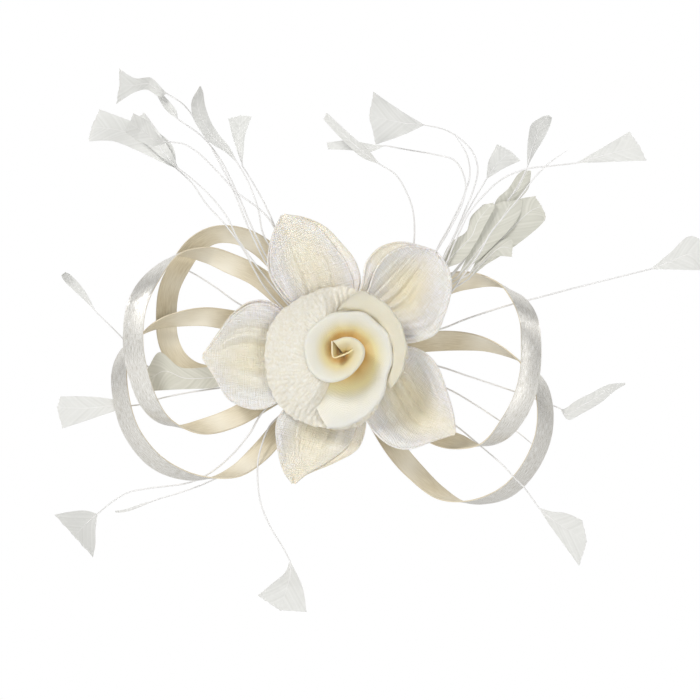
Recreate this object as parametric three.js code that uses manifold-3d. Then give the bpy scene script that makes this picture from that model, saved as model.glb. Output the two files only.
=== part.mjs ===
// A fascinator headpiece: a fabric flower with a rolled rose, ribbon loops and trimmed feathers on a
// round base, held in the hair by a sprung alligator clip.
// Millimetres, +Z up as worn. The flower faces -Y. The origin is on the flat outer face of the clip's
// lever arm, where the headpiece rests on the head, so y is the depth in front of the head.
import * as THREE from "three";
import { mergeVertices } from "three/addons/utils/BufferGeometryUtils.js";
import Module from "manifold-3d";

const wasm = await Module();
wasm.setup();

const GAP = 0.3; // between pieces that touch
const SHEET = 0.8; // clip sheet thickness
const CLIP_DEPTH = 5.2; // outer face to outer face, closed
const CLIP_WIDTH = 9;
const JAW_TIP_X = -30;
const LEVER_BEND_X = 15; // where the thumb tab turns away from the jaw
const TAB_END_X = 27;
const TAB_RISE = 4;
const ARM_END_X = 23;
const PIVOT = new THREE.Vector3(12, -CLIP_DEPTH / 2, 0);
const PIN_RADIUS = 0.8;
const EAR_RADIUS = 1.5;
const FELT_THICKNESS = 1.5;
const FELT_RADIUS = 28;
const BASE_THICKNESS = 1.7;
const BASE_RADIUS = 27;
const BINDING_RADIUS = 14; // the wad of thread that holds the feathers and ribbons
const BINDING_DEPTH = 20;
const FLOWER_STEM_RADIUS = 4;
const PETAL_THICKNESS = 0.9;
const ROSE_X = 2; // the rose's axis
const ROSE_Z = -2;
const RIBBON_WIDTH = 10;
const RIBBON_THICKNESS = 0.5;
const QUILL_WIDTH = 0.9;
const QUILL_TIP_WIDTH = 0.6;
const VANE_THICKNESS = 0.4;

// Depths worked out from the head outwards.
const FELT_Y = -CLIP_DEPTH - GAP;
const BASE_Y = FELT_Y - FELT_THICKNESS - GAP;
const BINDING_Y = BASE_Y - BASE_THICKNESS - GAP;
const PETAL_Y = BINDING_Y - BINDING_DEPTH - GAP;
const COLLAR_Y = PETAL_Y - 14.5;
const ROLL_Y = COLLAR_Y - 3.6;

const COLOURS = {
  mesh: { color: 0xf3ebdf, roughness: 0.45, metalness: 0 },
  organza: { color: 0xf2e8d2, roughness: 0.6, metalness: 0 },
  ribbon: { color: 0xe9e3d6, roughness: 0.3, metalness: 0 },
  feather: { color: 0xf2f1ec, roughness: 0.8, metalness: 0 },
  felt: { color: 0xefe8da, roughness: 0.95, metalness: 0 },
  thread: { color: 0xf0eadc, roughness: 0.8, metalness: 0 },
  steel: { color: 0xb9b9bb, roughness: 0.3, metalness: 1 },
};

const headpiece = new THREE.Group();
headpiece.name = "fascinator_headpiece";

function add(name, geometry, kind) {
  const mesh = new THREE.Mesh(geometry, new THREE.MeshStandardMaterial(COLOURS[kind]));
  mesh.name = name;
  headpiece.add(mesh);
}

// ---- Geometry helpers ----

// Keeps only positions, merges shared corners and turns the faces out if they point in.
function closed(geometry) {
  const bare = geometry.clone();
  bare.deleteAttribute("normal");
  bare.deleteAttribute("uv");
  const merged = mergeVertices(bare, 1e-4);
  const at = merged.getAttribute("position");
  const index = merged.index.array;
  const [a, b, c] = [new THREE.Vector3(), new THREE.Vector3(), new THREE.Vector3()];
  let volume = 0;
  for (let i = 0; i < index.length; i += 3) {
    a.fromBufferAttribute(at, index[i]);
    b.fromBufferAttribute(at, index[i + 1]);
    c.fromBufferAttribute(at, index[i + 2]);
    volume += a.dot(b.cross(c));
  }
  if (volume < 0) {
    for (let i = 0; i < index.length; i += 3) {
      [index[i + 1], index[i + 2]] = [index[i + 2], index[i + 1]];
    }
  }
  return merged;
}

function toManifold(geometry) {
  const body = closed(geometry);
  const vertProperties = new Float32Array(body.getAttribute("position").array);
  const triVerts = new Uint32Array(body.index.array);
  return new wasm.Manifold(new wasm.Mesh({ numProp: 3, vertProperties, triVerts }));
}

function union(geometries) {
  const solid = geometries.map(toManifold).reduce((sum, part) => sum.add(part));
  const { vertProperties, triVerts } = solid.getMesh();
  const joined = new THREE.BufferGeometry();
  joined.setAttribute("position", new THREE.BufferAttribute(vertProperties, 3));
  joined.setIndex(new THREE.BufferAttribute(triVerts, 1));
  return joined;
}

// A solid sheet: u runs along it from 0 to 1, v across it from -1 to 1, and side is -1 or 1 for its
// two faces.
function sheet(alongSteps, acrossSteps, place) {
  const box = new THREE.BoxGeometry(1, 2, 2, alongSteps, acrossSteps, 1);
  box.translate(0.5, 0, 0);
  const at = box.getAttribute("position");
  for (let i = 0; i < at.count; i += 1) {
    const point = place(at.getX(i), at.getY(i), at.getZ(i));
    at.setXYZ(i, point.x, point.y, point.z);
  }
  return closed(box);
}

// A round body on the line through (x, z) along Y, from a closed outline of [radius, y] points.
function turned(outline, segments, x = 0, z = 0) {
  const points = outline.map(([radius, y]) => new THREE.Vector2(radius, y));
  return closed(new THREE.LatheGeometry(points, segments).translate(x, 0, z));
}

function disc(radius, nearY, thickness, segments) {
  const farY = nearY - thickness;
  return turned([[0, nearY], [radius, nearY], [radius, farY], [0, farY]], segments);
}

function curveThrough(points) {
  const vectors = points.map((point) => new THREE.Vector3(...point));
  return new THREE.CatmullRomCurve3(vectors, false, "centripetal");
}

// A smooth number along a list, at t from 0 to 1.
function along(values, t) {
  const line = values.map((value) => new THREE.Vector3(value, 0, 0));
  return new THREE.CatmullRomCurve3(line, false, "catmullrom", 0.5).getPoint(t).x;
}

// ---- Clip: a bent lever arm that closes on a flat arm under the felt, with a pin and a coil spring ----

function extrudeAcross(shape, nearZ, farZ) {
  const options = { depth: farZ - nearZ, bevelEnabled: false, curveSegments: 10 };
  return new THREE.ExtrudeGeometry(shape, options).translate(0, 0, nearZ);
}

function outline(points) {
  return new THREE.Shape(points.map(([x, y]) => new THREE.Vector2(x, y)));
}

// Two ears with pin holes: towards is 1 for ears that stand on an arm at larger y, -1 for the other arm.
function ears(rootY, towards, nearZ, farZ) {
  const shape = new THREE.Shape();
  shape.moveTo(PIVOT.x - EAR_RADIUS, rootY);
  shape.lineTo(PIVOT.x - EAR_RADIUS, PIVOT.y);
  shape.absarc(PIVOT.x, PIVOT.y, EAR_RADIUS, Math.PI, 0, towards < 0);
  shape.lineTo(PIVOT.x + EAR_RADIUS, rootY);
  // The hole runs the other way round than the outline.
  const hole = new THREE.Path().absarc(PIVOT.x, PIVOT.y, PIN_RADIUS + GAP, 0, 2 * Math.PI, towards > 0);
  shape.holes.push(hole);
  return [extrudeAcross(shape, nearZ, farZ), extrudeAcross(shape, -farZ, -nearZ)];
}

function clipFixedArm() {
  const back = -CLIP_DEPTH;
  const plate = outline([
    [JAW_TIP_X, back],
    [ARM_END_X, back],
    [ARM_END_X, back + SHEET],
    [JAW_TIP_X, back + SHEET],
  ]);
  const plateSolid = extrudeAcross(plate, -CLIP_WIDTH / 2, CLIP_WIDTH / 2);
  return union([plateSolid, ...ears(back + SHEET / 2, -1, 2.3, 3.1)]);
}

function clipLeverArm() {
  const toothY = -CLIP_DEPTH + SHEET + GAP;
  const profile = outline([
    [JAW_TIP_X, toothY],
    [JAW_TIP_X + SHEET, toothY],
    [JAW_TIP_X + SHEET, -SHEET],
    [LEVER_BEND_X, -SHEET],
    [TAB_END_X + SHEET / 3, TAB_RISE - SHEET],
    [TAB_END_X, TAB_RISE],
    [LEVER_BEND_X, 0],
    [JAW_TIP_X, 0],
  ]);
  const plateSolid = extrudeAcross(profile, -CLIP_WIDTH / 2, CLIP_WIDTH / 2);
  return union([plateSolid, ...ears(-SHEET / 2, 1, 3.4, 4.2)]);
}

function clipPin() {
  const reach = 4.5;
  const head = 0.4;
  const headRadius = 1.4;
  const profile = [
    [0, -reach - head],
    [headRadius, -reach - head],
    [headRadius, -reach],
    [PIN_RADIUS, -reach],
    [PIN_RADIUS, reach],
    [headRadius, reach],
    [headRadius, reach + head],
    [0, reach + head],
  ];
  return turned(profile, 16).rotateX(Math.PI / 2).translate(PIVOT.x, PIVOT.y, PIVOT.z);
}

// A coil round the pin, whose two straight legs press the arms' rear ends apart.
function clipSpring() {
  const coilRadius = 1.35;
  const wireRadius = 0.22;
  const turns = 3;
  const halfLength = 1.4;
  const legLength = 6;
  const stepsPerTurn = 10;
  const points = [[PIVOT.x + legLength, PIVOT.y - coilRadius, -halfLength]];
  for (let i = 0; i <= turns * stepsPerTurn; i += 1) {
    const share = i / (turns * stepsPerTurn);
    // The last half turn brings the second leg out beside the lever arm.
    const angle = -Math.PI / 2 - share * (2 * turns - 1) * Math.PI;
    const z = halfLength * (2 * share - 1);
    points.push([PIVOT.x + coilRadius * Math.cos(angle), PIVOT.y + coilRadius * Math.sin(angle), z]);
  }
  points.push([PIVOT.x + legLength, PIVOT.y + coilRadius, halfLength]);
  const section = new THREE.Shape().absarc(0, 0, wireRadius, 0, 2 * Math.PI);
  const options = { steps: 46, extrudePath: curveThrough(points), curveSegments: 3, bevelEnabled: false };
  return closed(new THREE.ExtrudeGeometry(section, options));
}

// ---- Base: felt, stiff disc, thread binding and the flower's stem ----

function addBase() {
  add("felt_backing", disc(FELT_RADIUS, FELT_Y, FELT_THICKNESS, 40), "felt");
  add("base_disc", disc(BASE_RADIUS, BASE_Y, BASE_THICKNESS, 40), "felt");
  add("thread_binding", disc(BINDING_RADIUS, BINDING_Y, BINDING_DEPTH, 28), "thread");
  add("flower_stem", disc(FLOWER_STEM_RADIUS, PETAL_Y, PETAL_Y - ROLL_Y - GAP, 16), "thread");
}

// ---- Petals: cups of woven mesh whose two edges run from the stem to the tip ----

// Edges are [x, z] points. hollow is how far the edges stand forward of the cup's floor at mid length.
const PETALS = {
  petal_top: {
    left: [[-5.5, 6], [-18, 17], [-27, 26], [-32, 35], [-32, 45], [-29.5, 54], [-26.5, 60.5]],
    right: [[0.5, 6], [5, 20], [9, 30], [7, 39.5], [1, 47.5], [-7, 55.5], [-16, 59.5], [-25, 61]],
    hollow: 9,
    lean: 3,
  },
  petal_upper_right: {
    left: [[2.5, 5.5], [7, 20], [10, 30], [12, 39.5], [18, 46], [27.5, 48.5], [35, 47], [43, 44.5]],
    right: [
      [6.5, 1], [20, 3], [30, 3.2], [37, 4.5], [43, 7.5], [47, 16], [50, 28], [48.5, 37],
      [44, 43.5],
    ],
    hollow: 12,
    lean: 6,
  },
  petal_lower_right: {
    left: [[7, -1], [20, 0], [31, 1.4], [38.5, -1.5], [43.5, -7], [48, -18.5], [51, -29], [52, -37]],
    right: [
      [3.5, -6], [9, -19], [13, -33], [17, -38.5], [23, -43], [30, -44.5], [43, -40.5],
      [51.5, -38],
    ],
    hollow: 11,
    lean: 2,
  },
  petal_bottom: {
    left: [[-5.5, -6.5], [-18, -20], [-28, -31], [-28, -44.5], [-25, -55], [-21.5, -60]],
    right: [[1.5, -7], [7.5, -21], [11.5, -30], [8.5, -43.5], [-2.5, -50.5], [-15, -56], [-20, -60]],
    hollow: 8,
    lean: 1,
  },
  petal_left: {
    left: [
      [-6.5, -4.5], [-19, -16.5], [-28, -23.5], [-35, -26.5], [-42, -26], [-50, -22], [-57, -11],
      [-62, -3.5],
    ],
    right: [[-6.5, 3.5], [-20, 13], [-31, 21.5], [-39.5, 22], [-48, 16.5], [-54.5, 8], [-61.5, -2]],
    hollow: 9,
    lean: 3,
  },
};

function petal({ left, right, hollow, lean }) {
  const leftEdge = curveThrough(left.map(([x, z]) => [x, 0, z]));
  const rightEdge = curveThrough(right.map(([x, z]) => [x, 0, z]));
  return sheet(11, 8, (u, v, side) => {
    const point = leftEdge.getPointAt(u).lerp(rightEdge.getPointAt(u), (v + 1) / 2);
    const cup = hollow * v * v * Math.sin(Math.PI * u ** 0.8);
    point.y = PETAL_Y - 1.5 - lean * u * u - cup + (side * PETAL_THICKNESS) / 2;
    return point;
  });
}

// ---- Rose: bud, spiral roll, one outer petal and a gathered collar ----

// The roll's lip, clockwise seen from the front, from the bud outwards: [x, y, z].
const ROLL_LIP = [
  [-3.2, -66.5, 4.3],
  [2.3, -67, 5.6],
  [7.6, -66.8, 4.2],
  [10.8, -66.3, 0.5],
  [10.2, -65.5, -5],
  [4.5, -64.3, -11.2],
  [-5, -63.3, -14.4],
  [-11.7, -62, -11.2],
  [-15.3, -61, -4],
  [-15.8, -60, 3.2],
  [-11.7, -59, 11.2],
  [-2.7, -58.5, 16.2],
  [6.8, -58, 17.1],
  [16.2, -57, 13],
  [22, -56, 5.4],
  [23.2, -55, -4],
  [21.2, -53.8, -13.5],
  [15.8, -52, -25.8],
  [3, -50.5, -34.2],
  [-6, -49.8, -35.2],
];

function roseRoll() {
  const lip = curveThrough(ROLL_LIP);
  return sheet(54, 2, (u, v, side) => {
    const rise = (v + 1) / 2;
    const point = lip.getPointAt(u);
    const radial = new THREE.Vector3(point.x - ROSE_X, 0, point.z - ROSE_Z);
    const outward = radial.clone().normalize();
    // The wall bells out towards its lip.
    const spread = 0.76 + 0.24 * rise ** 1.5;
    const top = point.y;
    point.set(ROSE_X, ROLL_Y + (top - ROLL_Y) * rise, ROSE_Z).addScaledVector(radial, spread);
    return point.addScaledVector(outward, (side * PETAL_THICKNESS) / 2);
  });
}

// A tapered roll with a three-cornered mouth.
function roseBud() {
  const baseRadius = 3.2;
  const mouthRadius = 5.2;
  const mouthY = ROLL_Y - 15.5;
  const floorY = ROLL_Y - 6;
  const outlinePoints = [
    [0, ROLL_Y],
    [baseRadius, ROLL_Y],
    [mouthRadius, mouthY],
    [mouthRadius - PETAL_THICKNESS, mouthY],
    [baseRadius - PETAL_THICKNESS, floorY],
    [0, floorY],
  ];
  const bud = turned(outlinePoints, 24);
  const at = bud.getAttribute("position");
  for (let i = 0; i < at.count; i += 1) {
    const angle = Math.atan2(at.getZ(i), at.getX(i));
    const height = (at.getY(i) - ROLL_Y) / (mouthY - ROLL_Y);
    const pinch = 1 - 0.16 * height * (1 - Math.cos(3 * (angle - Math.PI / 5)));
    at.setXYZ(i, at.getX(i) * pinch, at.getY(i), at.getZ(i) * pinch);
  }
  return bud.translate(ROSE_X, 0, ROSE_Z);
}

function roseOuterPetal() {
  const startAngle = THREE.MathUtils.degToRad(82);
  const sweep = THREE.MathUtils.degToRad(-118);
  const footRadius = 21.6;
  const topLipRadius = 29;
  const sideLipRadius = 25.2;
  const lipHeight = 8;
  return sheet(20, 2, (u, v, side) => {
    const rise = (v + 1) / 2;
    const angle = startAngle + sweep * u;
    const fade = Math.sin(Math.PI * u) ** 0.5;
    const lipRadius = topLipRadius + (sideLipRadius - topLipRadius) * u ** 2.5;
    const radius = footRadius + (lipRadius - footRadius) * rise + (side * PETAL_THICKNESS) / 2;
    const y = ROLL_Y - (1 + lipHeight * fade) * rise;
    return new THREE.Vector3(ROSE_X + radius * Math.cos(angle), y, ROSE_Z + radius * Math.sin(angle));
  });
}

// How far the collar puffs forward: on the left and below, outside the roll and clear of the outer petal.
function collarPuff(radius, angle, outerRadius) {
  const { smoothstep, degToRad } = THREE.MathUtils;
  const turn = (angle + 2 * Math.PI) % (2 * Math.PI);
  const fromTop = smoothstep(turn, degToRad(80), degToRad(105));
  const toBottom = 1 - smoothstep(turn, degToRad(235), degToRad(262));
  const nearRadius = 16 + 5 * smoothstep(Math.cos(angle - degToRad(80)), -0.3, 0.9);
  const rise = smoothstep(radius, nearRadius - 1, nearRadius + 2.5);
  const share = Math.min(Math.max(0, (radius - nearRadius) / (outerRadius - nearRadius)), 1);
  return 8.5 * fromTop * toBottom * rise * (1 - share ** 2.5);
}

function roseCollar() {
  const innerRadius = FLOWER_STEM_RADIUS + 5.5; // the collar sits off the stem's axis
  const outerRadius = 31;
  const pleats = 15;
  const radii = [innerRadius, 14.5, 16, 17.5, 19, 20.5, 22, 24.5, 27, 29, outerRadius];
  const slope = (radius) => COLLAR_Y + (radius > 19 ? (radius - 19) / 12 : (radius - 19) / 10.5);
  const rear = radii.map((radius) => [radius, slope(radius)]);
  const front = radii.map((radius) => [radius, slope(radius) - 1]).reverse();
  const collar = turned([...rear, ...front, rear[0]], 60);
  const at = collar.getAttribute("position");
  for (let i = 0; i < at.count; i += 1) {
    const radius = Math.hypot(at.getX(i), at.getZ(i));
    const angle = Math.atan2(at.getZ(i), at.getX(i));
    const share = (radius - innerRadius) / (outerRadius - innerRadius);
    // The collar is narrower on the lower right, where the roll's tail covers it.
    const trim = 1 - 0.15 * share * Math.exp(-(((angle + 0.44) / 0.55) ** 2));
    at.setX(i, at.getX(i) * trim);
    at.setZ(i, at.getZ(i) * trim);
    const wave = share * Math.sin(pleats * angle);
    at.setY(i, at.getY(i) - 0.9 * wave - collarPuff(radius, angle, outerRadius));
  }
  return closed(collar.translate(-2, 0, -4));
}

// ---- Ribbon loops ----

// Points are [x, y, z, turn], from the binding round and back. turn is the band's twist about its own
// length in degrees: near 0 its outside faces the front, 90 is edge-on, near 180 its inside faces the
// front.
const RIBBONS = {
  ribbon_loop_left_front: {
    side: 1,
    points: [
      [-11.5, -15, 11.5, 165],
      [-25, -15, 23, 160],
      [-38, -15, 33.5, 155],
      [-49.5, -15.5, 39, 155],
      [-60, -17, 43, 135],
      [-73, -22, 43, 92],
      [-85, -27, 32, 48],
      [-91.5, -29.5, 19.5, 28],
      [-93, -30.5, 2, 24],
      [-90.5, -30, -11.5, 26],
      [-86, -28.5, -23.5, 36],
      [-80, -26, -31, 60],
      [-72.5, -23, -34.5, 90],
      [-61, -20.5, -34.5, 135],
      [-47, -19, -30, 155],
      [-34, -18.5, -22.5, 160],
      [-14, -18.5, -9.5, 168],
    ],
  },
  ribbon_loop_left_back: {
    side: 1,
    points: [
      [-8, -11.5, 14.5, 170],
      [-22, -11.5, 32, 165],
      [-35, -12, 46, 155],
      [-45.5, -12.5, 51.5, 142],
      [-56.5, -12.5, 52, 140],
      [-65, -12.5, 47.5, 145],
      [-71.5, -12.5, 39, 152],
      [-77, -13, 28, 155],
      [-78.5, -13, 15.5, 155],
      [-77.5, -13, 4, 155],
      [-73, -12.5, -5, 158],
      [-65, -12, -10.5, 160],
      [-52, -11.5, -11.5, 165],
      [-16, -11.5, -3.5, 170],
    ],
  },
  ribbon_loop_left_lower: {
    side: 1,
    points: [
      [-14.5, -18.6, 4.5, 168],
      [-31, -19, 9.5, 162],
      [-50, -19.5, 13.5, 155],
      [-61, -20.5, 15, 145],
      [-72, -21, 14, 130],
      [-82, -21, 11.5, 110],
      [-90, -21, 6.5, 88],
      [-97, -20, -1.5, 62],
      [-99.5, -19.5, -10, 47],
      [-98.5, -19, -23, 42],
      [-94, -19, -37, 42],
      [-83.5, -19.5, -50, 46],
      [-70, -20, -56.5, 66],
      [-57, -20, -57.5, 92],
      [-46.5, -18, -54.5, 125],
      [-37, -16, -47, 148],
      [-28, -14.5, -37, 155],
      [-8.5, -13, -14, 168],
    ],
  },
  ribbon_loop_right_front: {
    side: -1,
    points: [
      [14, -16, 8, 168],
      [32, -15.5, 20, 163],
      [49.5, -15, 30, 158],
      [60, -15, 31.5, 135],
      [67, -17, 31, 112],
      [74, -20, 28.5, 90],
      [81, -24, 22, 55],
      [85, -26.5, 13.5, 35],
      [86, -28, 2.5, 25],
      [85.5, -28, -10, 25],
      [82, -27.5, -23.5, 22],
      [75, -26.5, -35, 35],
      [69, -25.5, -40.5, 62],
      [62.5, -24.5, -43, 90],
      [54, -23, -41.5, 130],
      [42.5, -22, -38, 150],
      [11.5, -21, -11.5, 168],
    ],
  },
  ribbon_loop_right_back: {
    side: -1,
    points: [
      [16, -12, 1, 168],
      [30, -12, 3, 160],
      [43, -12, 4, 155],
      [55, -13, 4, 145],
      [65.5, -14.5, 2.5, 125],
      [75.5, -16.5, -1.5, 103],
      [83.5, -18, -7, 80],
      [90, -19, -15.5, 55],
      [92.5, -19, -26, 45],
      [91.5, -18, -39.5, 42],
      [85.5, -17, -53, 44],
      [76.5, -16.5, -63, 52],
      [66.5, -16.5, -67.5, 68],
      [56, -16, -68.5, 88],
      [45, -15, -64.5, 125],
      [34, -14, -55, 145],
      [25, -13, -44.5, 155],
      [8, -12.5, -14.5, 168],
    ],
  },
};

function ribbonLoop({ side, points }) {
  const path = curveThrough(points.map(([x, y, z]) => [x, y, z]));
  const turns = points.map((point) => THREE.MathUtils.degToRad(point[3]));
  const depthAxis = new THREE.Vector3(0, 1, 0);
  return sheet(46, 1, (u, v, face) => {
    const centre = path.getPoint(u);
    const forward = path.getTangent(u);
    const outward = depthAxis.clone().cross(forward).normalize().multiplyScalar(side);
    const back = forward.clone().cross(outward).multiplyScalar(side);
    const turn = along(turns, u);
    const across = outward.multiplyScalar(Math.cos(turn)).addScaledVector(back, Math.sin(turn));
    const normal = forward.cross(across);
    centre.addScaledVector(across, (v * RIBBON_WIDTH) / 2);
    return centre.addScaledVector(normal, (face * RIBBON_THICKNESS) / 2);
  });
}

// ---- Feathers: a bare quill that widens into a small trimmed vane ----

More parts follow.
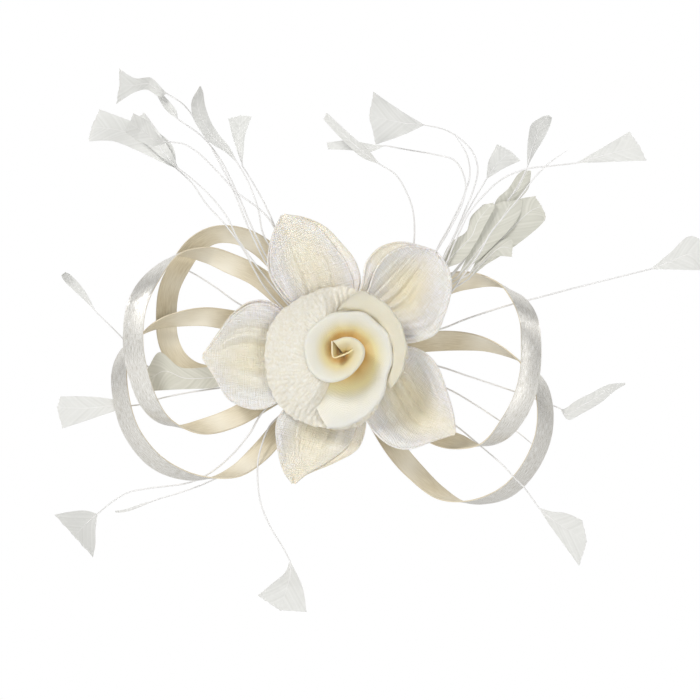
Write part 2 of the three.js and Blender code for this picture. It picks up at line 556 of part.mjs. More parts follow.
// quill is the shaft as [x, z] points from the binding outwards, and depth its y from the binding to the
// tip. vane is a list of crossings outwards from the quill's end, each [left x, left z, right x,
// right z]. The last may have two more numbers, the shaft's own end, where the trimmed edge bulges.
// tilt leans the left edge back, in degrees.
const FEATHERS = {
  feather_top_left_1: {
    quill: [[-12.5, 8.5], [-31, 35], [-42, 57], [-49, 74], [-60.5, 95.5], [-70, 110], [-78, 115.5]],
    depth: [-25.8, -26, -31, -42],
    vane: [
      [-81, 113.9, -80.2, 117.8], [-86.8, 117, -85, 122.3], [-92, 115.8, -92, 122],
      [-100.5, 110.5, -99, 126.3, -99, 119],
    ],
    tilt: 20,
  },
  feather_top_left_2: {
    quill: [[-11.5, 9.8], [-28, 33], [-40, 56], [-46, 70], [-54, 86], [-62, 96], [-73, 104]],
    depth: [-24.6, -24.6, -26, -26],
    vane: [
      [-76.5, 106.3, -73.8, 108], [-79.5, 109.5, -76.5, 111.5], [-81.5, 113, -79.5, 114.8],
      [-83.5, 116.5, -82.5, 118],
    ],
    tilt: -15,
  },
  feather_top_left_3: {
    quill: [[-13.5, 7], [-33, 27], [-45, 47.5], [-53, 58], [-60, 65.5], [-67, 75.5], [-74, 82]],
    depth: [-20.8, -20.5, -15, -7],
    vane: [
      [-82, 85.5, -75.5, 92], [-92.5, 90.5, -85, 100], [-103, 94.5, -97, 104.5],
      [-114, 94.5, -109, 109, -112.5, 101],
    ],
    tilt: -8,
  },
  feather_top_left_4: {
    quill: [[-12.8, 8], [-33, 32], [-46, 50], [-51, 60], [-58.5, 69.5], [-66, 76.5], [-73, 82]],
    depth: [-22.2, -22, -20, -16],
    vane: [[-79.5, 86, -75, 87], [-87, 92.5, -80, 95.5], [-96, 100.5, -88.5, 107.5]],
    tilt: -6,
  },
  feather_top_left_5: {
    quill: [
      [-9, 12], [-22, 40], [-32, 59], [-37, 64], [-47, 71.5], [-54, 79], [-63, 88], [-70, 92.5],
      [-77, 93.5],
    ],
    depth: [-28.2, -29, -34, -50],
    vane: [[-83.5, 91.5, -82, 97], [-91.5, 94.5, -87, 103], [-96, 97.5, -92.5, 106]],
    tilt: 25,
  },
  feather_top_left_6: {
    quill: [[-10.5, 10.5], [-27, 40], [-34.5, 52], [-37, 64], [-41.5, 76], [-46, 84]],
    depth: [-27, -28, -35, -46],
    vane: [
      [-51.5, 89, -49.5, 91], [-58, 93, -54.5, 97], [-62, 97.5, -58, 102.5],
      [-66, 104.5, -60.5, 109.5], [-66.5, 111.5, -61.5, 116], [-63, 118, -62.3, 118.3],
    ],
    tilt: -25,
  },
  feather_top_left_7: {
    quill: [[-10, 11.2], [-24, 39], [-30, 57], [-34, 66], [-39, 75], [-44, 83]],
    depth: [-23.4, -23.5, -23.5, -20],
    vane: [[-46.5, 90, -43.5, 89], [-48.5, 96.5, -43, 96], [-50.5, 104.5, -40, 105.5, -45, 106]],
    tilt: 20,
  },
  feather_top_right_1: {
    quill: [[7, 13], [28, 31], [33, 46], [33, 62], [30, 71], [25, 79], [18, 83.5]],
    depth: [-17.5, -20, -30, -42],
    vane: [[10, 86.5, 12.5, 90], [2.5, 93, 5, 96.5], [-7.5, 103.5, -6, 106.5]],
    tilt: 20,
  },
  feather_top_right_2: {
    quill: [
      [8.5, 12], [34, 31], [44, 45.5], [50, 55.5], [55, 66], [56.5, 75], [52, 85], [42.5, 88],
      [31, 90], [20.5, 92],
    ],
    depth: [-28, -28.5, -29.5, -28.5, -25],
    vane: [[12.5, 89, 12, 93], [4.5, 90, 4.5, 94.5], [-5.5, 90.5, -6, 93.5]],
    tilt: -20,
  },
  feather_top_right_3: {
    quill: [
      [10, 11], [42, 35], [51, 50.5], [56, 62], [60, 72], [62, 81], [60, 88.5], [54, 95], [47, 99],
      [38, 101],
    ],
    depth: [-26.8, -26, -27, -36, -50],
    vane: [[28.5, 96.5, 27, 107.5], [16, 92, 15, 115.5, 13, 105]],
    tilt: 12,
  },
  quill_top_right_4: {
    quill: [[9.2, 11.5], [38, 34], [45, 48], [50, 57], [56, 70], [58.5, 79], [57, 88], [51.5, 97]],
    depth: [-25.5, -25, -26, -30],
  },
  feather_top_right_5: {
    quill: [[11, 9.5], [43, 35], [50, 48], [56, 60], [60, 67], [66, 77]],
    depth: [-24.8, -24.6, -22.5, -17],
    vane: [[67, 85, 74, 82], [71, 93, 81.5, 85.5, 77, 90]],
    tilt: -15,
  },
  feather_top_right_6: {
    quill: [
      [11.8, 8.8], [44, 33], [52, 49], [58, 61.5], [65, 70], [73, 77], [84, 81.5], [95, 82.8],
      [106, 84],
    ],
    depth: [-24, -25.5, -29, -42],
    vane: [[118, 91, 121, 84.5], [130, 98, 137.5, 85, 134.5, 91.5]],
    tilt: 15,
  },
  feather_top_right_7: {
    quill: [[12.3, 8], [46, 30], [59, 45], [68, 58], [75, 66.5], [80.5, 74.5], [84.5, 82.5]],
    depth: [-18.8, -19.8, -18, -6],
    vane: [
      [84.5, 90, 88, 89], [85, 95.5, 91.5, 94.5], [86.5, 102, 95, 101.5],
      [91, 105.5, 96, 105, 94.5, 106.5],
    ],
    tilt: -30,
  },
  feather_top_right_8: {
    quill: [[13, 7], [48, 31], [60, 46], [68, 56]],
    depth: [-17.6, -18, -11],
    vane: [[70.5, 67.5, 81, 68], [76, 73, 85, 73], [80.5, 79.5, 86, 77], [83.5, 81.5, 86.5, 81]],
    tilt: 8,
  },
  quill_top_right_9: {
    quill: [
      [13.5, 6], [48, 24], [55, 33], [62, 42.5], [68, 53], [74, 60.5], [81, 69], [87, 77],
      [94, 84], [102, 89.5],
    ],
    depth: [-25, -27, -30, -36, -46],
  },
  feather_short_1: {
    quill: [[13, 7.4], [30, 24], [44, 36]],
    depth: [-22.4, -23, -24.4],
    vane: [
      [49.5, 48, 55, 40], [57, 53.5, 61.5, 49], [59, 60, 65.5, 56.5],
      [64.5, 65.5, 70, 64.5, 69, 66.5],
    ],
    tilt: 12,
  },
  feather_short_2: {
    quill: [[13.2, 6], [33, 21], [53, 33]],
    depth: [-21.2, -21.8, -22],
    vane: [[62, 52, 70, 47.5], [68.5, 64, 81, 61], [72.5, 67, 82.5, 68]],
    tilt: -8,
  },
  feather_short_3: {
    quill: [[13.6, 5], [36, 21], [58, 34]],
    depth: [-20, -20.7, -19.2],
    vane: [[71, 57, 77, 45.5], [80, 67.5, 92, 58], [88, 69.5, 93, 60.5, 91, 65]],
    tilt: -8,
  },
  feather_short_4: {
    quill: [[14, 4], [37, 18.5], [58, 32]],
    depth: [-23.6, -24.8, -26.4],
    vane: [[66, 43, 64, 37], [75.5, 50.5, 70, 42], [78, 49, 77.5, 42]],
    tilt: 10,
  },
  feather_right_1: {
    quill: [
      [14.5, 2.5], [45.5, 9.5], [57, 14], [77, 20.5], [85, 22.5], [104, 27.5], [124, 32.5],
      [140, 36.5],
    ],
    depth: [-17.5, -17, -16, -20, -30],
    vane: [[149, 44, 150, 36.3], [157.5, 51.3, 160, 36], [164, 49, 163, 36, 165, 43]],
    tilt: 10,
  },
  feather_right_2: {
    quill: [[14.5, -2.5], [43, -7], [57, -11.5], [78, -18.5], [96, -25], [99.5, -26.5]],
    depth: [-18, -17, -13, -12, -9],
    vane: [
      [101, -26.8, 103, -31.5], [107, -22.8, 109.5, -28.6], [114, -19.3, 118, -23.6],
      [121, -15.8, 124, -18.6], [129, -14.8, 129, -15.6],
    ],
    tilt: 30,
  },
  quill_right_3: {
    quill: [[13.7, -5], [48.5, -17.5], [60, -24], [71.5, -31.5], [80, -37], [88, -43.5]],
    depth: [-17, -15.5, -12.5],
  },
  feather_right_4: {
    quill: [
      [12.5, -7.7], [30, -20], [52, -34], [63, -43], [73.5, -52], [79, -58], [83, -62],
      [89.5, -71],
    ],
    depth: [-17, -17, -19.2, -26, -36],
    vane: [[94.5, -72.5, 93.5, -77.5], [102, -73.5, 99.5, -86], [109, -76.5, 107.5, -97, 111, -86]],
    tilt: 12,
  },
  feather_bottom: {
    quill: [
      [-7.2, -13], [-24, -27], [-31.5, -34], [-35, -42], [-37, -50], [-37, -61], [-35.5, -70],
      [-31, -80.5], [-26, -88.5], [-22.5, -95],
    ],
    depth: [-22, -21, -24, -38],
    vane: [
      [-19.5, -100.5, -25, -100.5], [-16.7, -107, -30.5, -105],
      [-15, -117.5, -37, -110.5, -27, -117],
    ],
    tilt: -12,
  },
  feather_lower_left_1: {
    quill: [
      [-10.5, -10.5], [-34, -27], [-41, -38], [-49.5, -48], [-59.5, -56], [-68.5, -60],
      [-86, -62.5], [-96, -64.5], [-103.5, -69], [-109.5, -74],
    ],
    depth: [-22.5, -22.5, -17, -12.8, -13, -15, -24],
    vane: [
      [-110.5, -81, -115, -72.5], [-110.5, -88, -122.5, -73],
      [-111.5, -93.5, -128.7, -74.3, -120, -84],
    ],
    tilt: 15,
  },
  feather_lower_left_2: {
    quill: [
      [-9, -12.5], [-29, -40.5], [-40.5, -49.5], [-54, -57], [-62.5, -61], [-74, -65],
      [-82.5, -67.5],
    ],
    depth: [-10.2, -10.2, -11, -14],
    vane: [[-90, -70.8, -90, -69.6], [-97, -73.2, -97, -72], [-101.5, -73.4, -101.5, -72.8]],
    tilt: 0,
  },
  feather_left_1: {
    quill: [[-14.6, -1], [-45, -10], [-60, -12.5], [-78, -12.5], [-88, -6.5], [-98, 5], [-110.5, 17.5]],
    depth: [-16.5, -16.3, -15.5, -14, -24],
    vane: [[-117.3, 24.2, -115.3, 26.7], [-124.4, 31.1, -121.9, 34.1], [-125.7, 33.6, -123.9, 35.1]],
    tilt: 20,
  },
  feather_left_2: {
    quill: [
      [-14, -4.5], [-40, -15], [-57, -17.5], [-70, -19.5], [-81.5, -22], [-89.5, -24.5],
      [-95.5, -25.3],
    ],
    depth: [-14.7, -15.8, -14, -13],
    vane: [[-103, -28, -103, -22.3], [-113.5, -31.5, -115, -21], [-125.5, -35.5, -126.5, -21, -128, -26]],
    tilt: -15,
  },
  feather_left_3: {
    quill: [[-14.3, -2.5], [-30, -8.5], [-47, -12]],
    depth: [-18, -18, -18.3],
    vane: [
      [-55.5, -16.7, -56.7, -8], [-68, -17.6, -72, -7.8], [-77, -18, -81.5, -1],
      [-84, -18.5, -87, -8.8, -86.5, -13.5],
    ],
    tilt: 5,
  },
  quill_left_4: {
    quill: [[-13.5, 6], [-45, 20.5], [-56.5, 28.5], [-68, 35.5], [-80, 40]],
    depth: [-13, -12, -8.2],
  },
};

function feather({ quill, depth, vane = [], tilt = 0 }) {
  const quillSteps = Math.round(quill.length * 1.6) + 2;
  const vaneSteps = vane.length * 2;
  const steps = quillSteps + vaneSteps;
  const quillShare = quillSteps / steps;
  const shaft = curveThrough(quill.map(([x, z]) => [x, 0, z]));
  const lean = Math.tan(THREE.MathUtils.degToRad(tilt));
  const [tipX, tipZ] = quill[quill.length - 1];
  const leftEdge = [[tipX, 0, tipZ], ...vane.map((row) => [row[0], 0, row[1]])];
  const rightEdge = [[tipX, 0, tipZ], ...vane.map((row) => [row[2], 0, row[3]])];
  const middle = [[tipX, 0, tipZ], ...vane.map((row) => (
    row.length > 4 ? [row[4], 0, row[5]] : [(row[0] + row[2]) / 2, 0, (row[1] + row[3]) / 2]
  ))];
  const edges = vane.length ? [leftEdge, middle, rightEdge].map(curveThrough) : [];
  return sheet(steps, vane.length ? 2 : 1, (u, v, side) => {
    const quillU = Math.min(1, u / quillShare);
    const vaneU = Math.max(0, (u - quillShare) / Math.max(1e-9, 1 - quillShare));
    const width = THREE.MathUtils.lerp(QUILL_WIDTH, QUILL_TIP_WIDTH, quillU);
    const centre = shaft.getPointAt(quillU);
    const forward = shaft.getTangentAt(quillU);
    const across = new THREE.Vector3(forward.z, 0, -forward.x);
    let offset = 0;
    if (vaneU > 1e-6) {
      centre.copy(edges[1].getPoint(vaneU));
      const edge = edges[v < 0 ? 0 : 2].getPoint(vaneU);
      const spread = new THREE.Vector3(edge.x - centre.x, 0, edge.z - centre.z);
      const least = width / 2;
      if (v !== 0) {
        offset = Math.max(spread.length(), least);
        const sideways = spread.length() > 0.01 ? spread.normalize() : across.multiplyScalar(v);
        centre.addScaledVector(sideways, offset);
      }
    } else {
      centre.addScaledVector(across, (v * width) / 2);
    }
    const thickness = vaneU > 1e-6 && v !== 0 ? VANE_THICKNESS : width;
    const level = along(depth, (quillU * quillSteps + vaneU * vaneSteps) / steps);
    centre.y = level - v * offset * lean + (side * thickness) / 2;
    return centre;
  });
}

// ---- Assembly ----

add("clip_lever_arm", clipLeverArm(), "steel");
add("clip_fixed_arm", clipFixedArm(), "steel");
add("clip_pin", clipPin(), "steel");
add("clip_spring", clipSpring(), "steel");
addBase();
for (const [name, shape] of Object.entries(PETALS)) {
  add(name, petal(shape), "mesh");
}
add("rose_collar", roseCollar(), "organza");
add("rose_outer_petal", roseOuterPetal(), "organza");
add("rose_roll", roseRoll(), "organza");
add("rose_bud", roseBud(), "organza");
for (const [name, shape] of Object.entries(RIBBONS)) {
  add(name, ribbonLoop(shape), "ribbon");
}
for (const [name, shape] of Object.entries(FEATHERS)) {
  add(name, feather(shape), "feather");
}

export default headpiece;
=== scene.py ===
"""Looks of the fascinator headpiece: woven petals, rolled rose, satin ribbon loops, trimmed feathers,
thread binding and felt base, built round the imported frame.

Shapes are worked out in millimetres, in the frame's own axes (+Y towards the head, +Z up as worn), and
scaled to metres when a mesh is made."""

import math

import bpy
import numpy as np
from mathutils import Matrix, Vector


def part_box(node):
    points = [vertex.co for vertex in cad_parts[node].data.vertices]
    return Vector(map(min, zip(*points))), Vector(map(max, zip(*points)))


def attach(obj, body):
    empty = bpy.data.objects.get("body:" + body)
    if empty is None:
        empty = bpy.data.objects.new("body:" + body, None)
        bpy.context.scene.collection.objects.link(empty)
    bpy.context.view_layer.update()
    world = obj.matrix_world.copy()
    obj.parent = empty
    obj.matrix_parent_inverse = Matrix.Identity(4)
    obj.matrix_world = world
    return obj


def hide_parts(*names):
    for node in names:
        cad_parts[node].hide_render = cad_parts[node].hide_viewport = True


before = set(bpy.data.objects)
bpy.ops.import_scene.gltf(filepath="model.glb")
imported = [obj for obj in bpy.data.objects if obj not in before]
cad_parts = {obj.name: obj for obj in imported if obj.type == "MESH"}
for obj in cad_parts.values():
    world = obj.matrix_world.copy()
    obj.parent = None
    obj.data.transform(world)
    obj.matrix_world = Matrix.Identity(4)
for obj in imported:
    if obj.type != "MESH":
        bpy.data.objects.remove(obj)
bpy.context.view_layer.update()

MM = 0.001
TAU = 2 * math.pi
CLOTH_UV = "cloth"
ROOT_BODY = "root"

# Driving sizes, in millimetres.
RIBBON_WIDTH = 10
RIBBON_THICKNESS = 0.35
PETAL_Y = -29.6  # where the stem comes out of the binding and the petals start
COLLAR_Y = -44.1  # the collar's inner edge
ROLL_Y = -47.7  # the roll's foot
ROSE_AXIS = np.array([2.0, -2.0])  # x and z of the axis that the roll is wound round
COLLAR_AXIS = np.array([-2.0, -4.0])  # the same for the collar, which sits lower and further left
BINDING_RADIUS = 14
BINDING_NEAR_Y = -9.3
BINDING_FAR_Y = -29.3
QUILL_RADIUS = 0.45
VANE_THICKNESS = 0.16
WINDING_RADIUS = 0.32  # radii of the threads round the binding, round the stem, and of the stitches
STEM_WINDING_RADIUS = 0.36
FELT_STITCH_RADIUS = 0.2
CLIP_STITCH_RADIUS = 0.22

GRAIN_SEED = 7
SHARP_ANGLE = math.radians(55)  # edges sharper than this are shaded as edges

# ---- Curves ----


def knots_of(points):
    """Centripetal spacing of points, from their first two or three columns."""
    gaps = np.linalg.norm(np.diff(points[:, :3], axis=0), axis=1)
    return np.concatenate([[0], np.cumsum(np.sqrt(np.maximum(gaps, 1e-9)))])


def curve(points, shares, even=True):
    """Points on a smooth curve through points, at shares from 0 to 1: of its length when even, else of
    its number of points."""
    points = np.asarray(points, float)
    ends = [2 * points[0] - points[1], 2 * points[-1] - points[-2]]
    padded = np.vstack([ends[0], points, ends[1]])
    knots = knots_of(padded)
    last = len(points) - 1

    def at(positions):
        first = np.clip(positions.astype(int), 0, last - 1)
        k = [knots[first + step] for step in range(4)]
        p = [padded[first + step] for step in range(4)]
        t = k[1] + (positions - first) * (k[2] - k[1])

        def between(a, b, start, end):
            share = ((t - start) / (end - start))[:, None]
            return a * (1 - share) + b * share

        a = [between(p[i], p[i + 1], k[i], k[i + 1]) for i in range(3)]
        b = [between(a[i], a[i + 1], k[i], k[i + 2]) for i in range(2)]
        return between(b[0], b[1], k[1], k[2])

    shares = np.asarray(shares, float)
    if not even:
        return at(shares * last)
    fine = np.linspace(0, last, 40 * last + 1)
    steps = np.linalg.norm(np.diff(at(fine)[:, :3], axis=0), axis=1)
    length = np.concatenate([[0], np.cumsum(steps)])
    return at(np.interp(shares * length[-1], length, fine))


def smooth_values(values, shares):
    """A smooth number along a list, at shares from 0 to 1."""
    values = np.asarray(values, float)
    last = len(values) - 1
    padded = np.concatenate([[2 * values[0] - values[1]], values, [2 * values[-1] - values[-2]]])
    positions = np.clip(np.asarray(shares, float), 0, 1) * last
    first = np.clip(positions.astype(int), 0, last - 1)
    t = positions - first
    a, b, c, d = (padded[first + step] for step in range(4))
    bend = (2 * a - 5 * b + 4 * c - d) * t**2 + (3 * (b - c) + d - a) * t**3
    return b + 0.5 * ((c - a) * t + bend)


def ease(value, low, high):
    """0 below low, 1 above high, and smooth between."""
    t = np.clip((value - low) / (high - low), 0, 1)
    return t * t * (3 - 2 * t)


def ripple(seed, position, waves):
    """Smooth noise along position: a few sines near waves cycles a unit, from -1 to 1 or so."""
    chance = np.random.default_rng(seed)
    count = 6
    total = 0
    for _ in range(count):
        rate = waves * chance.uniform(0.6, 1.5)
        total = total + np.sin(TAU * rate * position + chance.uniform(0, TAU))
    return total / math.sqrt(count)


# ---- Meshes ----


def make_object(name, vertices, faces, materials, face_materials=None, uv=None):
    """A smooth-shaded mesh object from millimetre vertices. uv has one pair for each vertex."""
    mesh = bpy.data.meshes.new(name)
    mesh.from_pydata((np.asarray(vertices) * MM).tolist(), [], [list(map(int, f)) for f in faces])
    for material in materials:
        mesh.materials.append(material)
    if face_materials is not None:
        mesh.polygons.foreach_set("material_index", np.asarray(face_materials, np.int32))
    if uv is not None:
        corners = np.zeros(len(mesh.loops), np.int32)
        mesh.loops.foreach_get("vertex_index", corners)
        layer = mesh.uv_layers.new(name=CLOTH_UV)
        layer.data.foreach_set("uv", np.asarray(uv, np.float32)[corners].ravel())
    mesh.shade_smooth()
    mesh.set_sharp_from_angle(angle=SHARP_ANGLE)
    mesh.update()
    piece = bpy.data.objects.new(name, mesh)
    bpy.context.scene.collection.objects.link(piece)
    return piece


def normals_of(grid, loop=False):
    """Unit normals of a grid of points; loop says that its first axis closes on itself."""
    along = np.gradient(grid, axis=0)
    if loop:
        along = np.roll(grid, -1, axis=0) - np.roll(grid, 1, axis=0)
    normals = np.cross(along, np.gradient(grid, axis=1))
    lengths = np.linalg.norm(normals, axis=2, keepdims=True)
    return normals / np.maximum(lengths, 1e-9)


def cloth_coordinates(grid, middle):
    """Distances in millimetres along and across a grid, the second measured from one of its columns."""
    along = np.linalg.norm(np.diff(grid[:, middle], axis=0), axis=1)
    along = np.concatenate([[0], np.cumsum(along)])
    across = np.linalg.norm(np.diff(grid, axis=1), axis=2)
    across = np.concatenate([np.zeros((len(grid), 1)), np.cumsum(across, axis=1)], axis=1)
    across -= across[:, middle : middle + 1]
    return np.stack([np.broadcast_to(along[:, None], across.shape), across], axis=2)


def sheet_parts(grid, thickness, loop=False, middle=None):
    """Vertices, faces, uv and the number of faces on the first side, for a closed sheet round a grid.
    thickness is one number or one for each grid point. The first side faces along the grid's normals.
    middle is the column that the cloth's width is measured from."""
    rows, columns = grid.shape[:2]
    offset = normals_of(grid, loop) * (np.broadcast_to(thickness, (rows, columns))[..., None] / 2)
    vertices = np.concatenate([(grid + offset).reshape(-1, 3), (grid - offset).reshape(-1, 3)])
    index = np.arange(rows * columns).reshape(rows, columns)
    if loop:
        index = np.vstack([index, index[:1]])
    quads = np.stack([index[:-1, :-1], index[1:, :-1], index[1:, 1:], index[:-1, 1:]], axis=-1)
    quads = quads.reshape(-1, 4)
    back = rows * columns
    border = [index[:, 0], index[::-1, -1]]
    if not loop:
        border = [
            np.concatenate([index[0, ::-1], index[1:, 0], index[-1, 1:], index[-2::-1, -1]])
        ]
    rims = []
    for ring in border:
        rims.append(np.stack([ring[:-1], ring[:-1] + back, ring[1:] + back, ring[1:]], axis=-1))
    rim = np.concatenate(rims)[:, ::-1]
    faces = np.concatenate([quads, quads[:, ::-1] + back, rim])
    uv = cloth_coordinates(grid, columns // 2 if middle is None else middle).reshape(-1, 2)
    return vertices, faces, np.concatenate([uv, uv]), len(quads)


def sheet(name, grid, thickness, materials, loop=False, middle=None):
    """A closed sheet. With two materials, the second is on the back and the rim."""
    vertices, faces, uv, front = sheet_parts(grid, thickness, loop, middle)
    sides = np.zeros(len(faces), int)
    if len(materials) > 1:
        sides[front:] = 1
    return make_object(name, vertices, faces, materials, sides, uv)


def tube_parts(path, radii, sides=8):
    """A round tube along path with pointed or blunt closed ends, as vertices, faces and uv."""
    path = np.asarray(path, float)
    radii = np.broadcast_to(radii, len(path))
    forward = np.gradient(path, axis=0)
    forward /= np.maximum(np.linalg.norm(forward, axis=1, keepdims=True), 1e-9)
    start = np.array([0.0, 1.0, 0.0]) if abs(forward[0][1]) < 0.8 else np.array([1.0, 0.0, 0.0])
    side = np.zeros_like(path)
    for i, ahead in enumerate(forward):
        start = start - ahead * np.dot(start, ahead)
        start /= np.linalg.norm(start)
        side[i] = start
    other = np.cross(forward, side)
    angles = np.arange(sides) * TAU / sides
    ring = side[:, None] * np.cos(angles)[:, None] + other[:, None] * np.sin(angles)[:, None]
    vertices = (path[:, None] + ring * radii[:, None, None]).reshape(-1, 3)
    index = np.arange(len(path) * sides).reshape(len(path), sides)
    turned = np.roll(index, -1, axis=1)
    faces = np.stack([index[:-1], turned[:-1], turned[1:], index[1:]], axis=-1).reshape(-1, 4)
    caps = [list(index[0][::-1]), list(index[-1])]
    lengths = np.concatenate([[0], np.cumsum(np.linalg.norm(np.diff(path, axis=0), axis=1))])
    uv = np.stack(np.broadcast_arrays(lengths[:, None], angles * radii.max()), axis=2).reshape(-1, 2)
    return vertices, faces.tolist() + caps, uv


def joined(name, parts, materials, part_materials=None):
    """One object from several (vertices, faces, uv) bodies. part_materials gives each one's slot."""
    vertices, faces, uvs, slots = [], [], [], []
    count = 0
    for i, (points, polygons, uv) in enumerate(parts):
        vertices.append(points)
        uvs.append(uv)
        faces += [[corner + count for corner in polygon] for polygon in polygons]
        slots += [part_materials[i] if part_materials else 0] * len(polygons)
        count += len(points)
    return make_object(name, np.vstack(vertices), faces, materials, slots, np.vstack(uvs))


# ---- Materials ----

LIP_FRONT_Y = -67.5  # where the rose's lip would meet its axis, in millimetres
LIP_SLOPE = 0.5  # how far back the lip goes for each step out from the axis


class Nodes:
    """Adds shader nodes to one material or world and joins them."""

    def __init__(self, owner):
        self.tree = owner.node_tree
        self.shader = self.tree.nodes.get("Principled BSDF")

    def feed(self, socket, value):
        if isinstance(value, bpy.types.NodeSocket):
            self.tree.links.new(value, socket)
        else:
            socket.default_value = value

    def add(self, kind, inputs, **settings):
        node = self.tree.nodes.new(kind)
        for key, value in settings.items():
            setattr(node, key, value)
        for key, value in inputs.items():
            self.feed(node.inputs[key], value)
        return node

    def math(self, operation, a, b=0.0):
        return self.add("ShaderNodeMath", {0: a, 1: b}, operation=operation).outputs[0]

    def mix(self, share, a, b):
        """Colour a where share is 0, b where it is 1. Each is a socket, or red, green and blue."""
        a, b = (c if isinstance(c, bpy.types.NodeSocket) else (*c, 1.0) for c in (a, b))
        inputs = {0: share, 6: a, 7: b}
        return self.add("ShaderNodeMix", inputs, data_type="RGBA").outputs[2]

    def span(self, value, low, high, to_low=0.0, to_high=1.0):
        inputs = {0: value, 1: low, 2: high, 3: to_low, 4: to_high}
        return self.add("ShaderNodeMapRange", inputs).outputs[0]

    def blend(self, value, low, high, a, b):
        """Colour a where value is under low, b where it is over high."""
        return self.mix(self.span(value, low, high), a, b)

    def cloth(self):
        """The cloth's own coordinates in millimetres: along, across."""
        uv = self.add("ShaderNodeUVMap", {}, uv_map=CLOTH_UV).outputs["UV"]
        split = self.add("ShaderNodeSeparateXYZ", {"Vector": uv})
        return split.outputs["X"], split.outputs["Y"]

    def place(self):
        return self.add("ShaderNodeTexCoord", {}).outputs["Object"]

    def position(self):
        """The place's X, Y and Z in metres, by name."""
        return self.add("ShaderNodeSeparateXYZ", {"Vector": self.place()}).outputs

    def noise(self, scale, detail=3.0, vector=None, distortion=0.0):
        inputs = {"Scale": scale, "Detail": detail, "Distortion": distortion}
        inputs["Vector"] = self.place() if vector is None else vector
        return self.add("ShaderNodeTexNoise", inputs).outputs["Fac"]

    def paint(self, base):
        self.feed(self.shader.inputs["Base Color"], base)

    def roughen(self, noise, low, high):
        """Roughness from low to high as a noise rises."""
        self.feed(self.shader.inputs["Roughness"], self.span(noise, 0.3, 0.7, low, high))

    def relief(self, height, distance, strength):
        """A bumpy surface from a height that goes from 0 to about 1, over a distance in metres."""
        inputs = {"Height": height, "Distance": distance, "Strength": strength}
        bump = self.add("ShaderNodeBump", inputs)
        self.feed(self.shader.inputs["Normal"], bump.outputs["Normal"])

    def stretched(self, x_scale, y_scale):
        """The cloth's coordinates with each axis scaled, for streaks along one of them."""
        x, y = self.cloth()
        inputs = {"X": self.math("MULTIPLY", x, x_scale), "Y": self.math("MULTIPLY", y, y_scale)}
        return self.add("ShaderNodeCombineXYZ", inputs).outputs[0]

    def weave(self, pitch_x, pitch_y, turn=0):
        """Height from 0 to 1 of a plain weave of threads at those pitches in millimetres, turned by some
        degrees from the cloth's length."""
        x, y = self.cloth()
        wander = self.noise(1.0, 2.0, self.stretched(0.12, 0.12))
        x = self.math("ADD", x, self.math("MULTIPLY", wander, 3.0))
        y = self.math("SUBTRACT", y, self.math("MULTIPLY", wander, 4.0))
        if turn:
            vector = self.add("ShaderNodeCombineXYZ", {"X": x, "Y": y}).outputs[0]
            angle = math.radians(turn)
            rotated = self.add("ShaderNodeVectorRotate", {"Vector": vector, "Angle": angle})
            split = self.add("ShaderNodeSeparateXYZ", {"Vector": rotated.outputs[0]})
            x, y = split.outputs["X"], split.outputs["Y"]
        warp = self.math("SINE", self.math("MULTIPLY", x, math.pi / pitch_x))
        weft = self.math("SINE", self.math("MULTIPLY", y, math.pi / pitch_y))
        over = self.span(self.math("MULTIPLY", warp, weft), -0.5, 0.5)
        high = self.math("MULTIPLY", self.math("ABSOLUTE", warp), over)
        under = self.math("SUBTRACT", 1.0, over)
        low = self.math("MULTIPLY", self.math("ABSOLUTE", weft), under)
        return self.math("ADD", high, low)

    def height(self, low, high):
        """0 to 1 between two distances along Y, in millimetres."""
        return self.span(self.position()["Y"], low * MM, high * MM)

    def from_axis(self):
        """Distance in metres from the rose's axis."""
        position = self.position()
        x = self.math("SUBTRACT", position["X"], ROSE_AXIS[0] * MM)
        z = self.math("SUBTRACT", position["Z"], ROSE_AXIS[1] * MM)
        squares = self.math("ADD", self.math("MULTIPLY", x, x), self.math("MULTIPLY", z, z))
        return self.math("SQRT", squares)

    def shade_in_roll(self):
        """How much painted shade the roll gets: 0 at the rose's lip and outside it, 1 far down inside; the
        lip slopes back away from the axis.
        """
        radius = self.from_axis()
        lip = self.math("ADD", LIP_FRONT_Y * MM, self.math("MULTIPLY", radius, LIP_SLOPE))
        below = self.math("SUBTRACT", self.position()["Y"], lip)
        near_axis = self.span(radius, 9 * MM, 20 * MM, 1.0, 0.1)
        inside = self.math("MULTIPLY", self.span(self.cloth()[1], 0.0, 2.0), near_axis)
        return self.math("MULTIPLY", self.span(below, 1.0 * MM, 8.5 * MM), inside)


def new_material(name, **settings):
    """A material whose shader has the given sockets set, underscores standing for spaces, and its nodes."""
    material = bpy.data.materials.new(name)
    material.use_nodes = True
    n = Nodes(material)
    for key, value in settings.items():
        n.shader.inputs[key.replace("_", " ")].default_value = value
    return material, n


